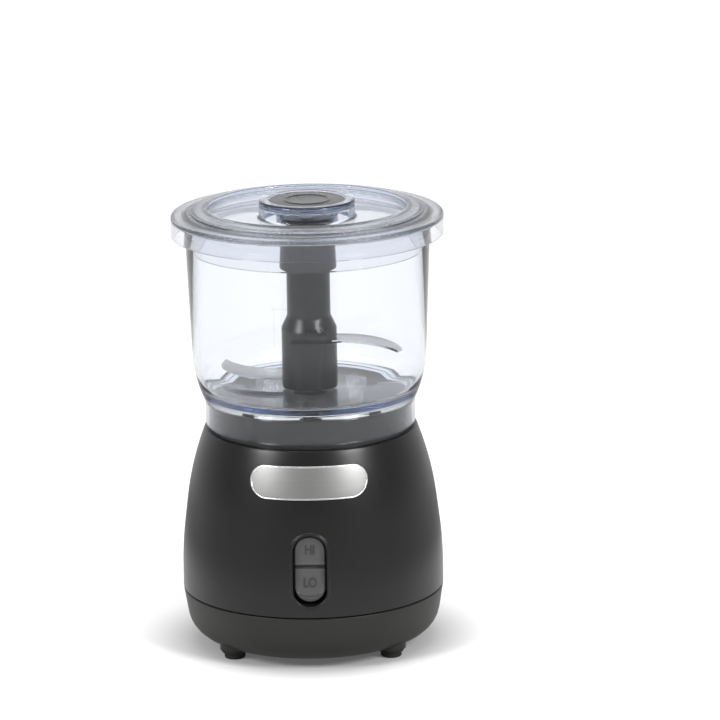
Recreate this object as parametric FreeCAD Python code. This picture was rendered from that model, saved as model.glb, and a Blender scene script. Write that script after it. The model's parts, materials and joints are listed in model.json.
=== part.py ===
import FreeCAD, Part
import math
import os

# Electric food chopper with a stack-and-press bowl
# Millimetres. The origin is on the table under the drive spindle, +Z is up and the rocker faces -Y.

Vector = FreeCAD.Vector
UP = Vector(0, 0, 1)
os.makedirs("parts", exist_ok=True)

# Clearances and fits
running_fit = 0.05          # shaft in its bush, on the radius
press_fit = 0.03            # pressed or clipped together, on the radius
part_gap = 0.3              # faces of different pieces that pass each other
mould_gap = 0.2             # pieces of the casing side by side

# Base: outline of the two casing shells
base_radius = 67.1
seam_height = 30.0
seam_groove = 0.8
housing_height = 114.0
housing_top_inset = 12.4    # deck's edge inside the widest part of the base
housing_edge = 0.8
side_turn_height = 54.0     # the upright side starts to lean in here
side_turn_blend = 11.5      # how far before and after the corner its rounding starts
shoulder_inset = 4.2
shoulder_drop = 26.0        # below the deck
shoulder_blend = 9.5
casing_wall = 2.4
pan_corner_inset = 2.2      # where the pan's floor and side would meet
pan_corner_round = 13.0

# Rubber feet
foot_height = 4.5
foot_pad_radius = 5.4
foot_collar_radius = 6.5
foot_collar_height = 1.7
foot_edge = 0.6
foot_stem_radius = 2.4
foot_stem_length = 6.0
foot_x = 40.0
foot_y = 34.5
foot_post_wall = 1.0
foot_post_height = 6.0

# Screws that hold the pan
pan_post_radius = 3.8
pan_post_x = 47.0
pan_post_y = 12.0
pan_post_height = 15.0
pan_post_end = 2.0          # closed end of the post
screw_seat_rise = 8.0       # screw's seat above the pan's underside
screw_core_radius = 1.3
screw_head_radius = 2.7
screw_head_height = 2.0
screw_tip_gap = 1.0         # between a screw's tip and the end of its hole
post_rib_thickness = 2.0
pan_lip_height = 3.0
pan_lip_wall = 1.4
pan_lip_root = 4.0
chassis_screw_bite = 9.0
pedestal_screw_bite = 7.0

# Air slots in the pan
slot_count = 7
slot_width = 2.4
slot_length = 34.0
slot_pitch = 6.0

# Cord bush in the back of the pan
cord_bush_height = 20.0
cord_bore_radius = 3.6
cord_bush_wall = 1.6
cord_flange_width = 1.7
cord_flange_thickness = 1.3
cord_seat_sunk = 1.4        # flange seat inside the widest part of the base
cord_pad_depth = 4.0
cord_pad_rim = 0.8

# Badge on the front
badge_width = 58.8
badge_height = 16.4
badge_drop = 14.6           # badge's middle below the deck
badge_thickness = 1.3
badge_sunk = 0.7
badge_rim_width = 1.0
badge_dish = 0.35

# Speed rocker and its slot
rocker_slot_width = 17.6
rocker_slot_height = 36.4
rocker_middle = 54.4
rocker_gap = 1.0
rocker_face_depth = 4.0     # from the widest part of the base to the middle of the rocker face
rocker_thickness = 5.4
rocker_skin = 1.7
rocker_dish_radius = 85.0
rocker_dish = 1.8           # how far the face is hollowed in its middle
rocker_half_travel = 5.0    # degrees each way
rocker_lean = 3.0           # degrees that the housing leans back at the rocker
rocker_groove = 1.4
rocker_barrel_radius = 2.3
rocker_pin_radius = 1.0
rocker_web = 2.4
rocker_room = 2.0           # between the rocker's back and the end of its sleeve
rocker_pivot_lead = 2.4     # pin in front of the sleeve's end
bead_width = 1.3
bead_height = 0.5
sleeve_wall = 1.8
switch_body_width = 14.0
switch_body_height = 28.0
switch_body_depth = 15.0
switch_flange_thickness = 1.8
switch_ear_thickness = 1.4
switch_ear_radius = 2.2
terminal_count = 3
terminal_pitch = 9.0
terminal_width = 4.8
terminal_length = 7.0
terminal_thickness = 0.8
diode_radius = 1.4
diode_length = 5.2
diode_stand = 4.0           # diode behind the switch
diode_lead_radius = 0.4

# Pedestal that the bowl fits over
pedestal_inset = 3.5        # inside the deck's edge
pedestal_height = 15.6
pedestal_wall = 2.2
pedestal_edge = 1.0
pedestal_screw_inset = 5.7
pedestal_boss_radius = 3.3
wire_hole_radius = 3.0
key_width = 7.0
key_depth = 1.6

# Rubber seal round the spindle
seal_seat_width = 5.0
seal_lip_wall = 1.4
seal_nose_height = 1.6
seal_flange = 1.0
seal_flange_width = 2.0
seal_lip_length = 1.2
seal_relief = 0.8

# Press ring with its plungers and return springs
press_travel = 2.0
ring_clearance = 1.2        # to the pedestal's screw bosses
ring_width = 9.0
ring_thickness = 2.5
plunger_radius = 3.0
plunger_spigot = 2.6
spigot_length = 3.0
floor_clearance = 1.0       # bowl floor above the pedestal when pressed
spring_wire = 0.9
spring_radius = 4.2

# Interlock switch under the press ring
interlock_length = 12.8
interlock_width = 5.8
interlock_height = 6.0
lever_length = 12.0
lever_width = 4.0
lever_thickness = 0.6
lever_rest_tilt = 12.5      # degrees above level
lever_pin_radius = 0.6
lever_pivot_inset = 1.2
lever_ear = 0.9
lever_ear_wall = 0.5
lever_contact = 10.0        # from the pivot to the tab that presses it
button_radius = 1.0
button_from_pivot = 4.0
button_well = 3.0
button_root = 1.8
tab_width = 3.0
tab_thickness = 1.6

# Gears
gear_module = 1.0
gear_teeth = 40
pinion_teeth = 14
pressure_angle = 20.0
tooth_addendum = 0.8        # in modules
tooth_dedendum = 1.15
tooth_backlash = 0.12
gear_width = 7.0
pinion_width = 8.5
gear_hub_radius = 7.5
gear_hub_step = 0.8
gear_web_depth = 2.0
gear_rim_wall = 3.0

# Drive spindle
spindle_radius = 4.0
spindle_head_length = 18.0
spindle_head_step = 1.4
spindle_head_chamfer = 1.2
spindle_tail = 3.5          # below the gear chassis
spindle_bush_wall = 3.0
upper_bush_length = 10.0
bush_tail = 1.2
bush_flange_thickness = 1.4
bush_flange_width = 1.5
deck_boss_depth = 8.0
boss_wall = 2.2
chassis_drop = 12.6         # deck boss to the top of the gear chassis
chassis_thickness = 3.5
chassis_gap = 4.5           # chassis to the housing's wall
chassis_post_x = 30.0
chassis_post_y = 36.0
chassis_post_radius = 4.0
chassis_notch_width = 32.0
chassis_notch_depth = 22.0
chassis_holes = [(9.0, 40.0, 8.0), (7.0, 36.0, -14.0)]     # radius and place, on both sides
circlip_drop = 2.4          # circlip's groove below the gear chassis
circlip_groove = 0.6
circlip_thickness = 0.8
circlip_width = 2.2
circlip_mouth = 2.8

# Motor
shaft_radius = 2.5
shaft_tip = 0.6             # past the pinion
shaft_inset = 1.0           # inside the lower bush
motor_bush_wall = 3.2
motor_bush_length = 7.0
motor_bush_lip = 1.0
stator_width = 52.0
stator_depth = 40.0
stator_length = 22.0
stator_frame = 4.5
stator_drop = 17.5          # chassis underside to the top of the stator
pole_bore_radius = 13.0
air_gap = 0.5
pole_shoe = 2.5
pole_angle = 48.0           # half the angle of one pole shoe, degrees
pole_neck = 12.0
coil_build = 4.2
coil_end = 5.2
core_slots = 12
core_slot_width = 1.6
core_slot_depth = 3.6
winding_end = 5.8
winding_inset = 1.5
winding_bevel = 1.5
commutator_radius = 8.0
commutator_length = 8.0
commutator_bars = 12
commutator_gap = 1.2        # below the windings
commutator_slot = 0.6
riser_width = 1.2
riser_height = 1.0
frame_thickness = 3.0
frame_arm_width = 4.0
frame_bridge_width = 15.2
frame_pocket_wall = 1.8
frame_gap = 1.0             # commutator above the end frame
motor_screw_radius = 1.5
motor_column_radius = 3.1
fan_radius = 21.0
fan_height = 6.6
fan_blades = 9
fan_blade_thickness = 1.2
fan_blade_inset = 0.5
fan_lean = 18.0             # degrees that each blade trails
fan_disc = 1.4
fan_gap = 0.8
fan_hub_radius = 6.0
brush_width = 5.0
brush_height = 6.0
brush_length = 9.0
brush_spring_radius = 1.9
brush_spring_wire = 0.5
holder_wall = 0.8
holder_length = 13.0
holder_gap = 2.6            # to the commutator

# Bowl
bowl_wall = 2.4
bowl_rim_flare = 3.25       # rim outside the waist
bowl_waist_flare = 5.6      # waist outside the skirt
bowl_waist_height = 8.4     # above the bowl's underside
bowl_waist_blend = 11.5
bowl_neck_height = 12.1     # upright stretch of the skirt
bowl_height = 90.6          # from the underside to the rim
bowl_floor = 2.2
bowl_skirt_wall = 2.0
bowl_skirt_clearance = 0.55
bowl_skirt_gap = 0.2        # left under the skirt when the bowl is pressed down
bowl_key_gap = 3.0          # between the key and the bowl's floor
bowl_inner_blend = 3.0
bowl_edge = 0.6
chimney_clearance = 0.8
chimney_wall = 1.8
chimney_height = 19.4       # above the bowl's underside

# Blade unit
hub_floor_gap = 1.2
socket_clearance = 0.6
hub_wall = 2.6
hub_sleeve = 3.0
hub_rim_gap = 0.2           # hub's top below the bowl's rim
hub_cap_height = 26.0
hub_cap_radius = 14.6
hub_cap_top_radius = 13.3
hub_taper = 6.0
hub_cap_bevel = 2.0
hub_top_bevel = 1.2
insert_wall = 2.6
insert_length = 22.0
drive_gap = 0.3             # spindle head to the insert's hexagon, on the corners
blade_thickness = 1.2
lower_blade_rise = 4.0      # above the hub's lower end
upper_blade_rise = 22.0
blade_tip_gap = 4.45        # tip to the bowl's waist
blade_root_width = 15.5
blade_root_depth = 1.0      # arm's root inside the sleeve
blade_belly = 0.66          # where the arm bows most, as a share of its reach
blade_belly_lead = 3.2      # degrees ahead of the arm's middle line
blade_belly_trail = 23.0
blade_tip_width = 5.0
blade_grind = 3.2
blade_edge = 0.25
blade_sweep = 32.0          # degrees that the tip trails
blade_ring_cover = 0.8      # sleeve round the ring that the arm is part of
blade_ring_gap = 1.2
sleeve_over_blade = 5.0

# Lid
lid_overhang = 6.7          # beyond the bowl's rim
lid_wall = 2.2
lid_skirt_drop = 9.0        # below the bowl's rim
lid_edge_blend = 1.2
lid_edge_rise = 1.6         # outer edge above the bowl's rim
lid_step_inset = 10.1       # step inside the lid's edge
lid_step_rise = 4.3
lid_step = 0.9
lid_ring_inset = 18.8
lid_ring_rise = 5.9
lid_draft = 0.5             # lean of the step's and the recess's side
lid_seat_width = 1.0        # lid's seat outside the bowl's rim
lid_plug_gap = 1.2
lid_plug_wall = 2.0
lid_plug_depth = 16.6
lid_recess_depth = 6.2
lid_boss_radius = 24.4
lid_boss_rise = 8.9         # boss top above the bowl's rim
lid_boss_rim = 4.6
lid_boss_blend = 1.2
lid_disc_sink = 1.4
lid_disc_thickness = 0.9
disc_ridge_radius = 12.0
disc_ridge_width = 1.2
disc_ridge_height = 0.3
guide_gap = 0.7
guide_wall = 1.8
guide_overlap = 3.6
keeper_radius = 3.0
keeper_gap = 0.4            # lid's keeper above the hub, so that the blades can't climb

# Heights and radii that follow from the sizes above
housing_top_radius = base_radius - housing_top_inset
shoulder_radius = base_radius - shoulder_inset
shoulder_height = housing_height - shoulder_drop
pan_corner_radius = base_radius - pan_corner_inset
badge_middle = housing_height - badge_drop
pan_top = seam_height - seam_groove / 2
housing_bottom = seam_height + seam_groove / 2
deck_bottom = housing_height - casing_wall
inner_radius = base_radius - casing_wall
boss_bottom = deck_bottom - deck_boss_depth
chassis_top = boss_bottom - chassis_drop
chassis_bottom = chassis_top - chassis_thickness
gear_middle = (boss_bottom + chassis_top) / 2
spindle_bottom = chassis_bottom - spindle_tail
chassis_radius = shoulder_radius - casing_wall - chassis_gap
pedestal_radius = housing_top_radius - pedestal_inset
pedestal_screw_radius = pedestal_radius - pedestal_screw_inset
ring_outer_radius = pedestal_screw_radius - pedestal_boss_radius - ring_clearance
ring_inner_radius = ring_outer_radius - ring_width
plunger_circle = (ring_outer_radius + ring_inner_radius) / 2
interlock_y = plunger_circle
pedestal_top = housing_height + pedestal_height
pedestal_roof = pedestal_top - pedestal_wall
bowl_bottom = pedestal_top + floor_clearance + press_travel
bowl_floor_top = bowl_bottom + bowl_floor
bowl_rim = bowl_bottom + bowl_height
skirt_bottom = housing_height + bowl_skirt_gap + press_travel
bowl_foot_radius = pedestal_radius + bowl_skirt_clearance + bowl_skirt_wall
bowl_waist_radius = bowl_foot_radius + bowl_waist_flare
bowl_rim_radius = bowl_waist_radius + bowl_rim_flare
blade_tip_radius = bowl_waist_radius - bowl_wall - blade_tip_gap
lid_radius = bowl_rim_radius + lid_overhang
lid_step_radius = lid_radius - lid_step_inset
lid_ring_radius = lid_radius - lid_ring_inset
head_radius = spindle_radius + spindle_head_step
chimney_inner = head_radius + chimney_clearance
chimney_outer = chimney_inner + chimney_wall
chimney_top = bowl_bottom + chimney_height
socket_radius = chimney_outer + socket_clearance
stem_radius = socket_radius + hub_wall
sleeve_radius = stem_radius + hub_sleeve
hub_bottom = bowl_floor_top + hub_floor_gap
hub_top = bowl_rim - hub_rim_gap
insert_bottom = chimney_top + hub_floor_gap
head_top = insert_bottom + spindle_head_length
head_bottom = chimney_top - bowl_floor
gear_distance = gear_module * (gear_teeth + pinion_teeth) / 2
motor_y = gear_distance
stator_top = chassis_bottom - stator_drop
stator_bottom = stator_top - stator_length
core_radius = pole_bore_radius - air_gap
commutator_top = stator_bottom - winding_end - commutator_gap
commutator_bottom = commutator_top - commutator_length
frame_top = commutator_bottom - frame_gap
frame_bottom = frame_top - frame_thickness
shaft_bottom = frame_bottom - motor_bush_length + shaft_inset
plunger_top = bowl_bottom
plunger_angles = (30, 150, 270)
pedestal_screw_angles = (270, 22, 158)
slot_front = -1.05 * base_radius     # where tools that cut the front of the base start


def polar(radius, degrees):
    angle = math.radians(degrees)
    return radius * math.cos(angle), radius * math.sin(angle)


def cylinder(radius, low, high, x=0.0, y=0.0):
    return Part.makeCylinder(radius, high - low, Vector(x, y, low), UP)


def tube(outer, inner, low, high, x=0.0, y=0.0):
    return cylinder(outer, low, high, x, y).cut(cylinder(inner, low - 1, high + 1, x, y))


def block(x_low, x_high, y_low, y_high, z_low, z_high):
    corner = Vector(x_low, y_low, z_low)
    return Part.makeBox(x_high - x_low, y_high - y_low, z_high - z_low, corner)


def rod_x(radius, x_low, x_high, y, z):
    return Part.makeCylinder(radius, x_high - x_low, Vector(x_low, y, z), Vector(1, 0, 0))


def rod_y(radius, y_low, y_high, x, z):
    return Part.makeCylinder(radius, y_high - y_low, Vector(x, y_low, z), Vector(0, 1, 0))


def joined(shapes):
    return shapes[0].multiFuse(shapes[1:]).removeSplitter()


def cut_all(shape, tools):
    return shape.cut(Part.makeCompound(tools))


def flat(point):
    return Vector(point[0], 0, point[1])


def drawn(start, corners):
    """Edges of an outline through (radius, height) corners; a third number rounds the corner."""
    edges = []
    here = flat(start)
    for number, corner in enumerate(corners):
        place = flat(corner)
        if len(corner) == 2:
            edges.append(Part.makeLine(here, place))
            here = place
            continue
        back = (here - place).normalize()
        ahead = (flat(corners[number + 1]) - place).normalize()
        half = back.getAngle(ahead) / 2
        reach = corner[2] / math.tan(half)
        middle = place + (back + ahead).normalize() * (corner[2] / math.sin(half) - corner[2])
        edges.append(Part.makeLine(here, place + back * reach))
        here = place + ahead * reach
        edges.append(Part.Arc(place + back * reach, middle, here).toShape())
    return edges


def eased(before, corner, after, blend):
    """Corner with the rounding radius that starts it a given way from the corner on both sides."""
    back = flat(before) - flat(corner)
    ahead = flat(after) - flat(corner)
    return corner + (blend * math.tan(back.getAngle(ahead) / 2),)


def turned(start, corners, x=0.0, y=0.0):
    """Solid of revolution from a closed outline."""
    face = Part.Face(Part.Wire(drawn(start, corners + [start])))
    solid = face.revolve(Vector(0, 0, 0), UP, 360)
    solid.translate(Vector(x, y, 0))
    return solid


def obround(width, height, y_low, y_high, middle):
    """Slot-shaped prism along Y with round ends on its longer side."""
    radius = min(width, height) / 2
    side = width / 2 - radius
    rise = height / 2 - radius
    turn_x = radius if rise > 0 else 0
    turn_z = 0 if rise > 0 else radius
    a = Vector(-side - turn_x, y_low, middle - rise - turn_z)
    b = Vector(side + turn_x, y_low, middle - rise - turn_z)
    c = Vector(side + turn_x, y_low, middle + rise + turn_z)
    d = Vector(-side - turn_x, y_low, middle + rise + turn_z)
    if rise > 0:
        edges = [Part.Arc(a, Vector(0, y_low, middle - height / 2), b).toShape(), Part.makeLine(b, c)]
        edges += [Part.Arc(c, Vector(0, y_low, middle + height / 2), d).toShape(), Part.makeLine(d, a)]
    else:
        edges = [Part.makeLine(a, b), Part.Arc(b, Vector(width / 2, y_low, middle), c).toShape()]
        edges += [Part.makeLine(c, d), Part.Arc(d, Vector(-width / 2, y_low, middle), a).toShape()]
    return Part.Face(Part.Wire(edges)).extrude(Vector(0, y_high - y_low, 0))


def save(name, shapes):
    if not isinstance(shapes, list):
        shapes = [shapes]
    shape = shapes[0] if len(shapes) == 1 else Part.makeCompound(shapes)
    shape.exportStep("parts/" + name + ".step")


# Casing as a solid whose skin is pushed in by a given depth
def housing_solid(depth, low):
    high = housing_height
    foot = (base_radius - depth, low)
    side_turn = (base_radius - depth, side_turn_height)
    shoulder = (shoulder_radius - depth, shoulder_height)
    brim = (housing_top_radius - depth, high - housing_edge)
    return turned((0, low), [foot, eased(foot, side_turn, shoulder, side_turn_blend),
                             eased(side_turn, shoulder, brim, shoulder_blend),
                             brim, (brim[0] - housing_edge, high), (0, high)])


def pan_solid(top):
    solid = turned((0, foot_height), [(pan_corner_radius, foot_height, pan_corner_round),
                                      (base_radius, seam_height), (0, seam_height)])
    return solid.cut(cylinder(base_radius + 1, top, seam_height + 1))


def pan_room(depth):
    """Room inside the pan's skin, bevelled where the outside is round."""
    low = foot_height + depth
    bevel = (pan_corner_round - depth) * (2 - math.sqrt(2))
    lean = (base_radius - pan_corner_radius) / (seam_height - foot_height)
    corner = pan_corner_radius - depth
    return turned((0, low), [(corner - bevel, low), (corner + lean * bevel, low + bevel),
                             (base_radius - depth, seam_height), (0, seam_height)])


def four_corners(x, y):
    return [(x, y), (-x, y), (-x, -y), (x, -y)]


# Upper shell of the base: skin, deck, posts, rocker sleeve and badge recess
def make_housing():
    hollow = housing_solid(casing_wall, housing_bottom)
    hollow = hollow.cut(cylinder(base_radius, deck_bottom, housing_height + 1))
    shell = housing_solid(0, housing_bottom).cut(hollow)

    bush_radius = spindle_radius + spindle_bush_wall
    pieces = [shell, cylinder(bush_radius + boss_wall, boss_bottom, deck_bottom + 0.5)]
    for x, y in four_corners(chassis_post_x, chassis_post_y):
        pieces.append(cylinder(chassis_post_radius, chassis_top, deck_bottom + 0.5, x, y))
    inside = housing_solid(casing_wall / 2, seam_height)
    post_top = seam_height + pan_post_height
    for x, y in four_corners(pan_post_x, pan_post_y):
        pieces.append(cylinder(pan_post_radius, seam_height, post_top, x, y))
        side = 1 if x > 0 else -1
        reach = sorted((x, side * base_radius))
        rib = block(reach[0], reach[1], y - post_rib_thickness / 2, y + post_rib_thickness / 2,
                    seam_height + pan_lip_height + 1, post_top)
        pieces.append(rib.common(inside))

    skin = housing_solid(-bead_height, housing_bottom)
    bead = obround(rocker_slot_width + 2 * bead_width, rocker_slot_height + 2 * bead_width,
                   slot_front, 0, rocker_middle)
    pieces.append(bead.common(skin.cut(inside)))
    sleeve = obround(rocker_slot_width + 2 * sleeve_wall, rocker_slot_height + 2 * sleeve_wall,
                     slot_front, sleeve_end(), rocker_middle)
    pieces.append(sleeve.common(inside))
    body = joined(pieces)

    tools = [obround(rocker_slot_width, rocker_slot_height, slot_front - 2, sleeve_end() + 1, rocker_middle)]
    recess = obround(badge_width + 2 * mould_gap, badge_height + 2 * mould_gap, slot_front, 0, badge_middle)
    tools.append(recess.cut(housing_solid(badge_sunk, housing_bottom)))
    tools.append(cylinder(bush_radius + press_fit, boss_bottom - 1, boss_bottom + upper_bush_length))
    tools.append(cylinder(spindle_radius + 1, boss_bottom, housing_height + 1))
    for x, y in four_corners(chassis_post_x, chassis_post_y):
        tools.append(cylinder(screw_core_radius, chassis_top - 1,
                              chassis_top + chassis_screw_bite + screw_tip_gap, x, y))
    for x, y in four_corners(pan_post_x, pan_post_y):
        tools.append(cylinder(screw_core_radius, seam_height - 1, post_top - pan_post_end, x, y))
    for degrees in pedestal_screw_angles:
        x, y = polar(pedestal_screw_radius, degrees)
        tools.append(cylinder(screw_core_radius + part_gap, deck_bottom - 1, housing_height + 1, x, y))
    tools.append(cylinder(wire_hole_radius, deck_bottom - 1, housing_height + 1,
                          -interlock_length, interlock_y))
    return cut_all(body, tools)


def sleeve_end():
    return -base_radius + rocker_face_depth + rocker_thickness + rocker_room


def make_pan():
    body = pan_solid(pan_top).cut(pan_room(casing_wall))
    lip_outer = inner_radius - mould_gap
    lip_low = pan_top - pan_lip_root
    lip = tube(lip_outer, lip_outer - pan_lip_wall, lip_low, pan_top + pan_lip_height)
    lip_seat = tube(base_radius - casing_wall / 2, lip_outer - pan_lip_wall, lip_low, pan_top)
    lip_seat = lip_seat.common(pan_room(casing_wall / 2))
    pieces = [body, lip, lip_seat]
    for x, y in four_corners(pan_post_x, pan_post_y):
        column = cylinder(pan_post_radius, foot_height, seam_height, x, y)
        pieces.append(column.common(cylinder(inner_radius - mould_gap - pan_lip_wall, 0, seam_height)))
    foot_post = foot_collar_radius + foot_post_wall
    for x, y in four_corners(foot_x, foot_y):
        pieces.append(cylinder(foot_post, foot_height, foot_height + foot_post_height, x, y))
    pad_radius = cord_bore_radius + cord_bush_wall + cord_flange_width + cord_pad_rim
    pad = rod_y(pad_radius, cord_seat_y() - cord_pad_depth, cord_seat_y(), 0, cord_bush_height)
    pieces.append(pad.cut(pan_room(casing_wall / 2).common(
        block(-pad_radius, pad_radius, 0, cord_seat_y() - cord_pad_depth, 0, seam_height))))
    body = joined(pieces)

    tools = []
    for x, y in four_corners(pan_post_x, pan_post_y):
        tools.append(cylinder(screw_head_radius + part_gap, foot_height - 1, screw_seat(), x, y))
        tools.append(cylinder(screw_core_radius + part_gap, 0, seam_height + 1, x, y))
    for x, y in four_corners(foot_x, foot_y):
        tools.append(cylinder(foot_stem_radius + press_fit, 0, foot_height + foot_stem_length + 1, x, y))
    first = -(slot_count - 1) / 2 * slot_pitch
    for row in range(slot_count):
        x = first + row * slot_pitch
        slot = block(x - slot_width / 2, x + slot_width / 2, -slot_length / 2, slot_length / 2,
                     foot_height - 1, foot_height + casing_wall + 1)
        ends = [cylinder(slot_width / 2, foot_height - 1, foot_height + casing_wall + 1, x, end)
                for end in (-slot_length / 2, slot_length / 2)]
        tools.append(joined([slot] + ends))
    bush_hole = cord_bore_radius + cord_bush_wall + press_fit
    tools.append(rod_y(bush_hole, 0, base_radius + 5, 0, cord_bush_height))
    tools.append(rod_y(pad_radius, cord_seat_y(), base_radius + 5, 0, cord_bush_height))
    return cut_all(body, tools)


def screw_seat():
    return foot_height + screw_seat_rise


def cord_seat_y():
    """Face of the pad that the cord bush's flange sits on."""
    return base_radius - cord_seat_sunk


def make_feet():
    collar = foot_height - foot_collar_height
    outline = [(foot_pad_radius - foot_edge, 0), (foot_pad_radius, foot_edge), (foot_pad_radius, collar),
               (foot_collar_radius, collar), (foot_collar_radius, foot_height),
               (foot_stem_radius, foot_height), (foot_stem_radius, foot_height + foot_stem_length),
               (0, foot_height + foot_stem_length)]
    names = ["foot_rear_right", "foot_rear_left", "foot_front_left", "foot_front_right"]
    for name, (x, y) in zip(names, four_corners(foot_x, foot_y)):
        save(name, turned((0, 0), outline, x, y))


def make_screw(x, y, head_bottom, length, radius=screw_core_radius):
    """Screw that points up from its head."""
    head_top = head_bottom + screw_head_height
    head = cylinder(screw_head_radius, head_bottom, head_top, x, y)
    return joined([head, cylinder(radius, head_bottom, head_top + length, x, y)])


def make_screws():
    head = screw_seat() - screw_head_height
    reach = seam_height + pan_post_height - pan_post_end - screw_tip_gap - screw_seat()
    save("pan_screws", [make_screw(x, y, head, reach) for x, y in four_corners(pan_post_x, pan_post_y)])
    head = chassis_bottom - screw_head_height
    save("chassis_screws", [make_screw(x, y, head, chassis_thickness + chassis_screw_bite)
                            for x, y in four_corners(chassis_post_x, chassis_post_y)])
    head = deck_bottom - screw_head_height
    places = [polar(pedestal_screw_radius, degrees) for degrees in pedestal_screw_angles]
    save("pedestal_screws", [make_screw(x, y, head, casing_wall + pedestal_screw_bite) for x, y in places])


# Bush that the power cord leaves through
def make_cord_bush():
    seat = cord_seat_y()
    bore = cord_bore_radius
    wall = bore + cord_bush_wall
    body = rod_y(wall, seat - cord_pad_depth, seat + cord_flange_thickness, 0, cord_bush_height)
    flange = rod_y(wall + cord_flange_width, seat, seat + cord_flange_thickness, 0, cord_bush_height)
    bush = joined([body, flange])
    return bush.cut(rod_y(bore, 0, base_radius + 9, 0, cord_bush_height))


# Badge plate that follows the housing's skin, with a raised rim
def make_badge():
    plate = obround(badge_width, badge_height, slot_front, 0, badge_middle)
    outer = housing_solid(badge_sunk - badge_thickness, housing_bottom)
    inner = housing_solid(badge_sunk, housing_bottom)
    badge = plate.common(outer.cut(inner))
    dish = obround(badge_width - 2 * badge_rim_width, badge_height - 2 * badge_rim_width,
                   slot_front, 0, badge_middle)
    depth = badge_sunk - badge_thickness + badge_dish
    return badge.cut(dish.cut(housing_solid(depth, housing_bottom)))


# Rocker, its pin and the switch that it works
def rocker_pivot_y():
    return sleeve_end() - rocker_pivot_lead


def make_rocker():
    width = rocker_slot_width - 2 * rocker_gap
    height = rocker_slot_height - 2 * rocker_gap
    front = -base_radius + rocker_face_depth - rocker_dish
    back = front + rocker_thickness
    body = obround(width, height, front, back, rocker_middle)
    axis_y = front + rocker_dish - rocker_dish_radius
    dish = rod_x(rocker_dish_radius, -width, width, axis_y, rocker_middle)
    groove = rod_x(rocker_groove / 2, -width, width, front + rocker_dish, rocker_middle)
    cavity = obround(width - 2 * rocker_skin, height - 2 * rocker_skin,
                     front + rocker_dish + rocker_skin, back + 1, rocker_middle)
    body = cut_all(body, [dish, groove, cavity])
    pivot = rocker_pivot_y()
    ear_inner = width / 2 - rocker_skin - switch_ear_thickness - 2 * part_gap
    web = block(-ear_inner + part_gap, ear_inner - part_gap, front + rocker_dish + 1, pivot,
                rocker_middle - rocker_web / 2, rocker_middle + rocker_web / 2)
    barrel = rod_x(rocker_barrel_radius, -ear_inner + part_gap, ear_inner - part_gap, pivot, rocker_middle)
    body = joined([body, web, barrel])
    body = body.cut(rod_x(rocker_pin_radius + running_fit, -width, width, pivot, rocker_middle))
    body.rotate(Vector(0, pivot, rocker_middle), Vector(1, 0, 0), -rocker_lean - rocker_half_travel)
    return body


def make_rocker_switch():
    width = rocker_slot_width - 2 * rocker_gap
    pivot = rocker_pivot_y()
    end = sleeve_end()
    ear_outer = width / 2 - rocker_skin - part_gap
    flange = obround(rocker_slot_width + 2 * sleeve_wall, rocker_slot_height + 2 * sleeve_wall,
                     end, end + switch_flange_thickness, rocker_middle)
    back = end + switch_flange_thickness + switch_body_depth
    box = block(-switch_body_width / 2, switch_body_width / 2, end + 1, back,
                rocker_middle - switch_body_height / 2, rocker_middle + switch_body_height / 2)
    pieces = [flange, box]
    for side in (-1, 1):
        reach = sorted((side * ear_outer, side * (ear_outer - switch_ear_thickness)))
        ear = block(reach[0], reach[1], pivot, end + 1,
                    rocker_middle - switch_ear_radius, rocker_middle + switch_ear_radius)
        pieces += [ear, rod_x(switch_ear_radius, reach[0], reach[1], pivot, rocker_middle)]
    body = joined(pieces)
    pin_hole = rod_x(rocker_pin_radius + press_fit, -width, width, pivot, rocker_middle)
    body = cut_all(body, [pin_hole])
    save("rocker_switch", body)
    save("rocker_pin", rod_x(rocker_pin_radius, -ear_outer, ear_outer, pivot, rocker_middle))

    terminals = []
    first = -(terminal_count - 1) / 2 * terminal_pitch
    for row in range(terminal_count):
        z = rocker_middle + first + row * terminal_pitch
        terminals.append(block(-terminal_width / 2, terminal_width / 2, back, back + terminal_length,
                               z - terminal_thickness / 2, z + terminal_thickness / 2))
    save("switch_terminals", terminals)
    z = rocker_middle + terminal_pitch / 2
    diode_y = back + diode_stand
    body = Part.makeCylinder(diode_radius, diode_length, Vector(0, diode_y, z - diode_length / 2), UP)
    gap = (terminal_pitch - terminal_thickness) / 2
    lead = Part.makeCylinder(diode_lead_radius, 2 * gap, Vector(0, diode_y, z - gap), UP)
    save("low_speed_diode", joined([body, lead]))


# Grey pedestal with its three plunger holes, screw bosses and a key slot at the back
def make_pedestal():
    low = housing_height
    top = pedestal_top
    edge = pedestal_edge
    wall = pedestal_wall
    pieces = [turned((pedestal_radius - wall, low), [
        (pedestal_radius, low), (pedestal_radius, top - edge), (pedestal_radius - edge, top),
        (seal_seat_radius(), top),
        (seal_seat_radius(), pedestal_roof), (pedestal_radius - wall, pedestal_roof)])]
    for degrees in pedestal_screw_angles:
        x, y = polar(pedestal_screw_radius, degrees)
        pieces.append(cylinder(pedestal_boss_radius, low, pedestal_roof + 0.5, x, y))
    slot_back = pedestal_radius - key_depth - part_gap - wall
    half_pocket = key_width / 2 + wall
    pocket = block(-half_pocket, half_pocket, slot_back, pedestal_radius, low, pedestal_roof + 0.5)
    pieces.append(pocket.common(cylinder(pedestal_radius - wall / 2, low, top)))
    body = joined(pieces)
    half_slot = key_width / 2 + part_gap
    tools = [block(-half_slot, half_slot, slot_back + wall, pedestal_radius + 1, low - 1, top + 1)]
    for degrees in plunger_angles:
        x, y = polar(plunger_circle, degrees)
        tools.append(cylinder(plunger_radius + part_gap, pedestal_roof - 1, top + 1, x, y))
    for degrees in pedestal_screw_angles:
        x, y = polar(pedestal_screw_radius, degrees)
        tools.append(cylinder(screw_core_radius, low - 1, low + pedestal_screw_bite + screw_tip_gap, x, y))
    return cut_all(body, tools)


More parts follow.
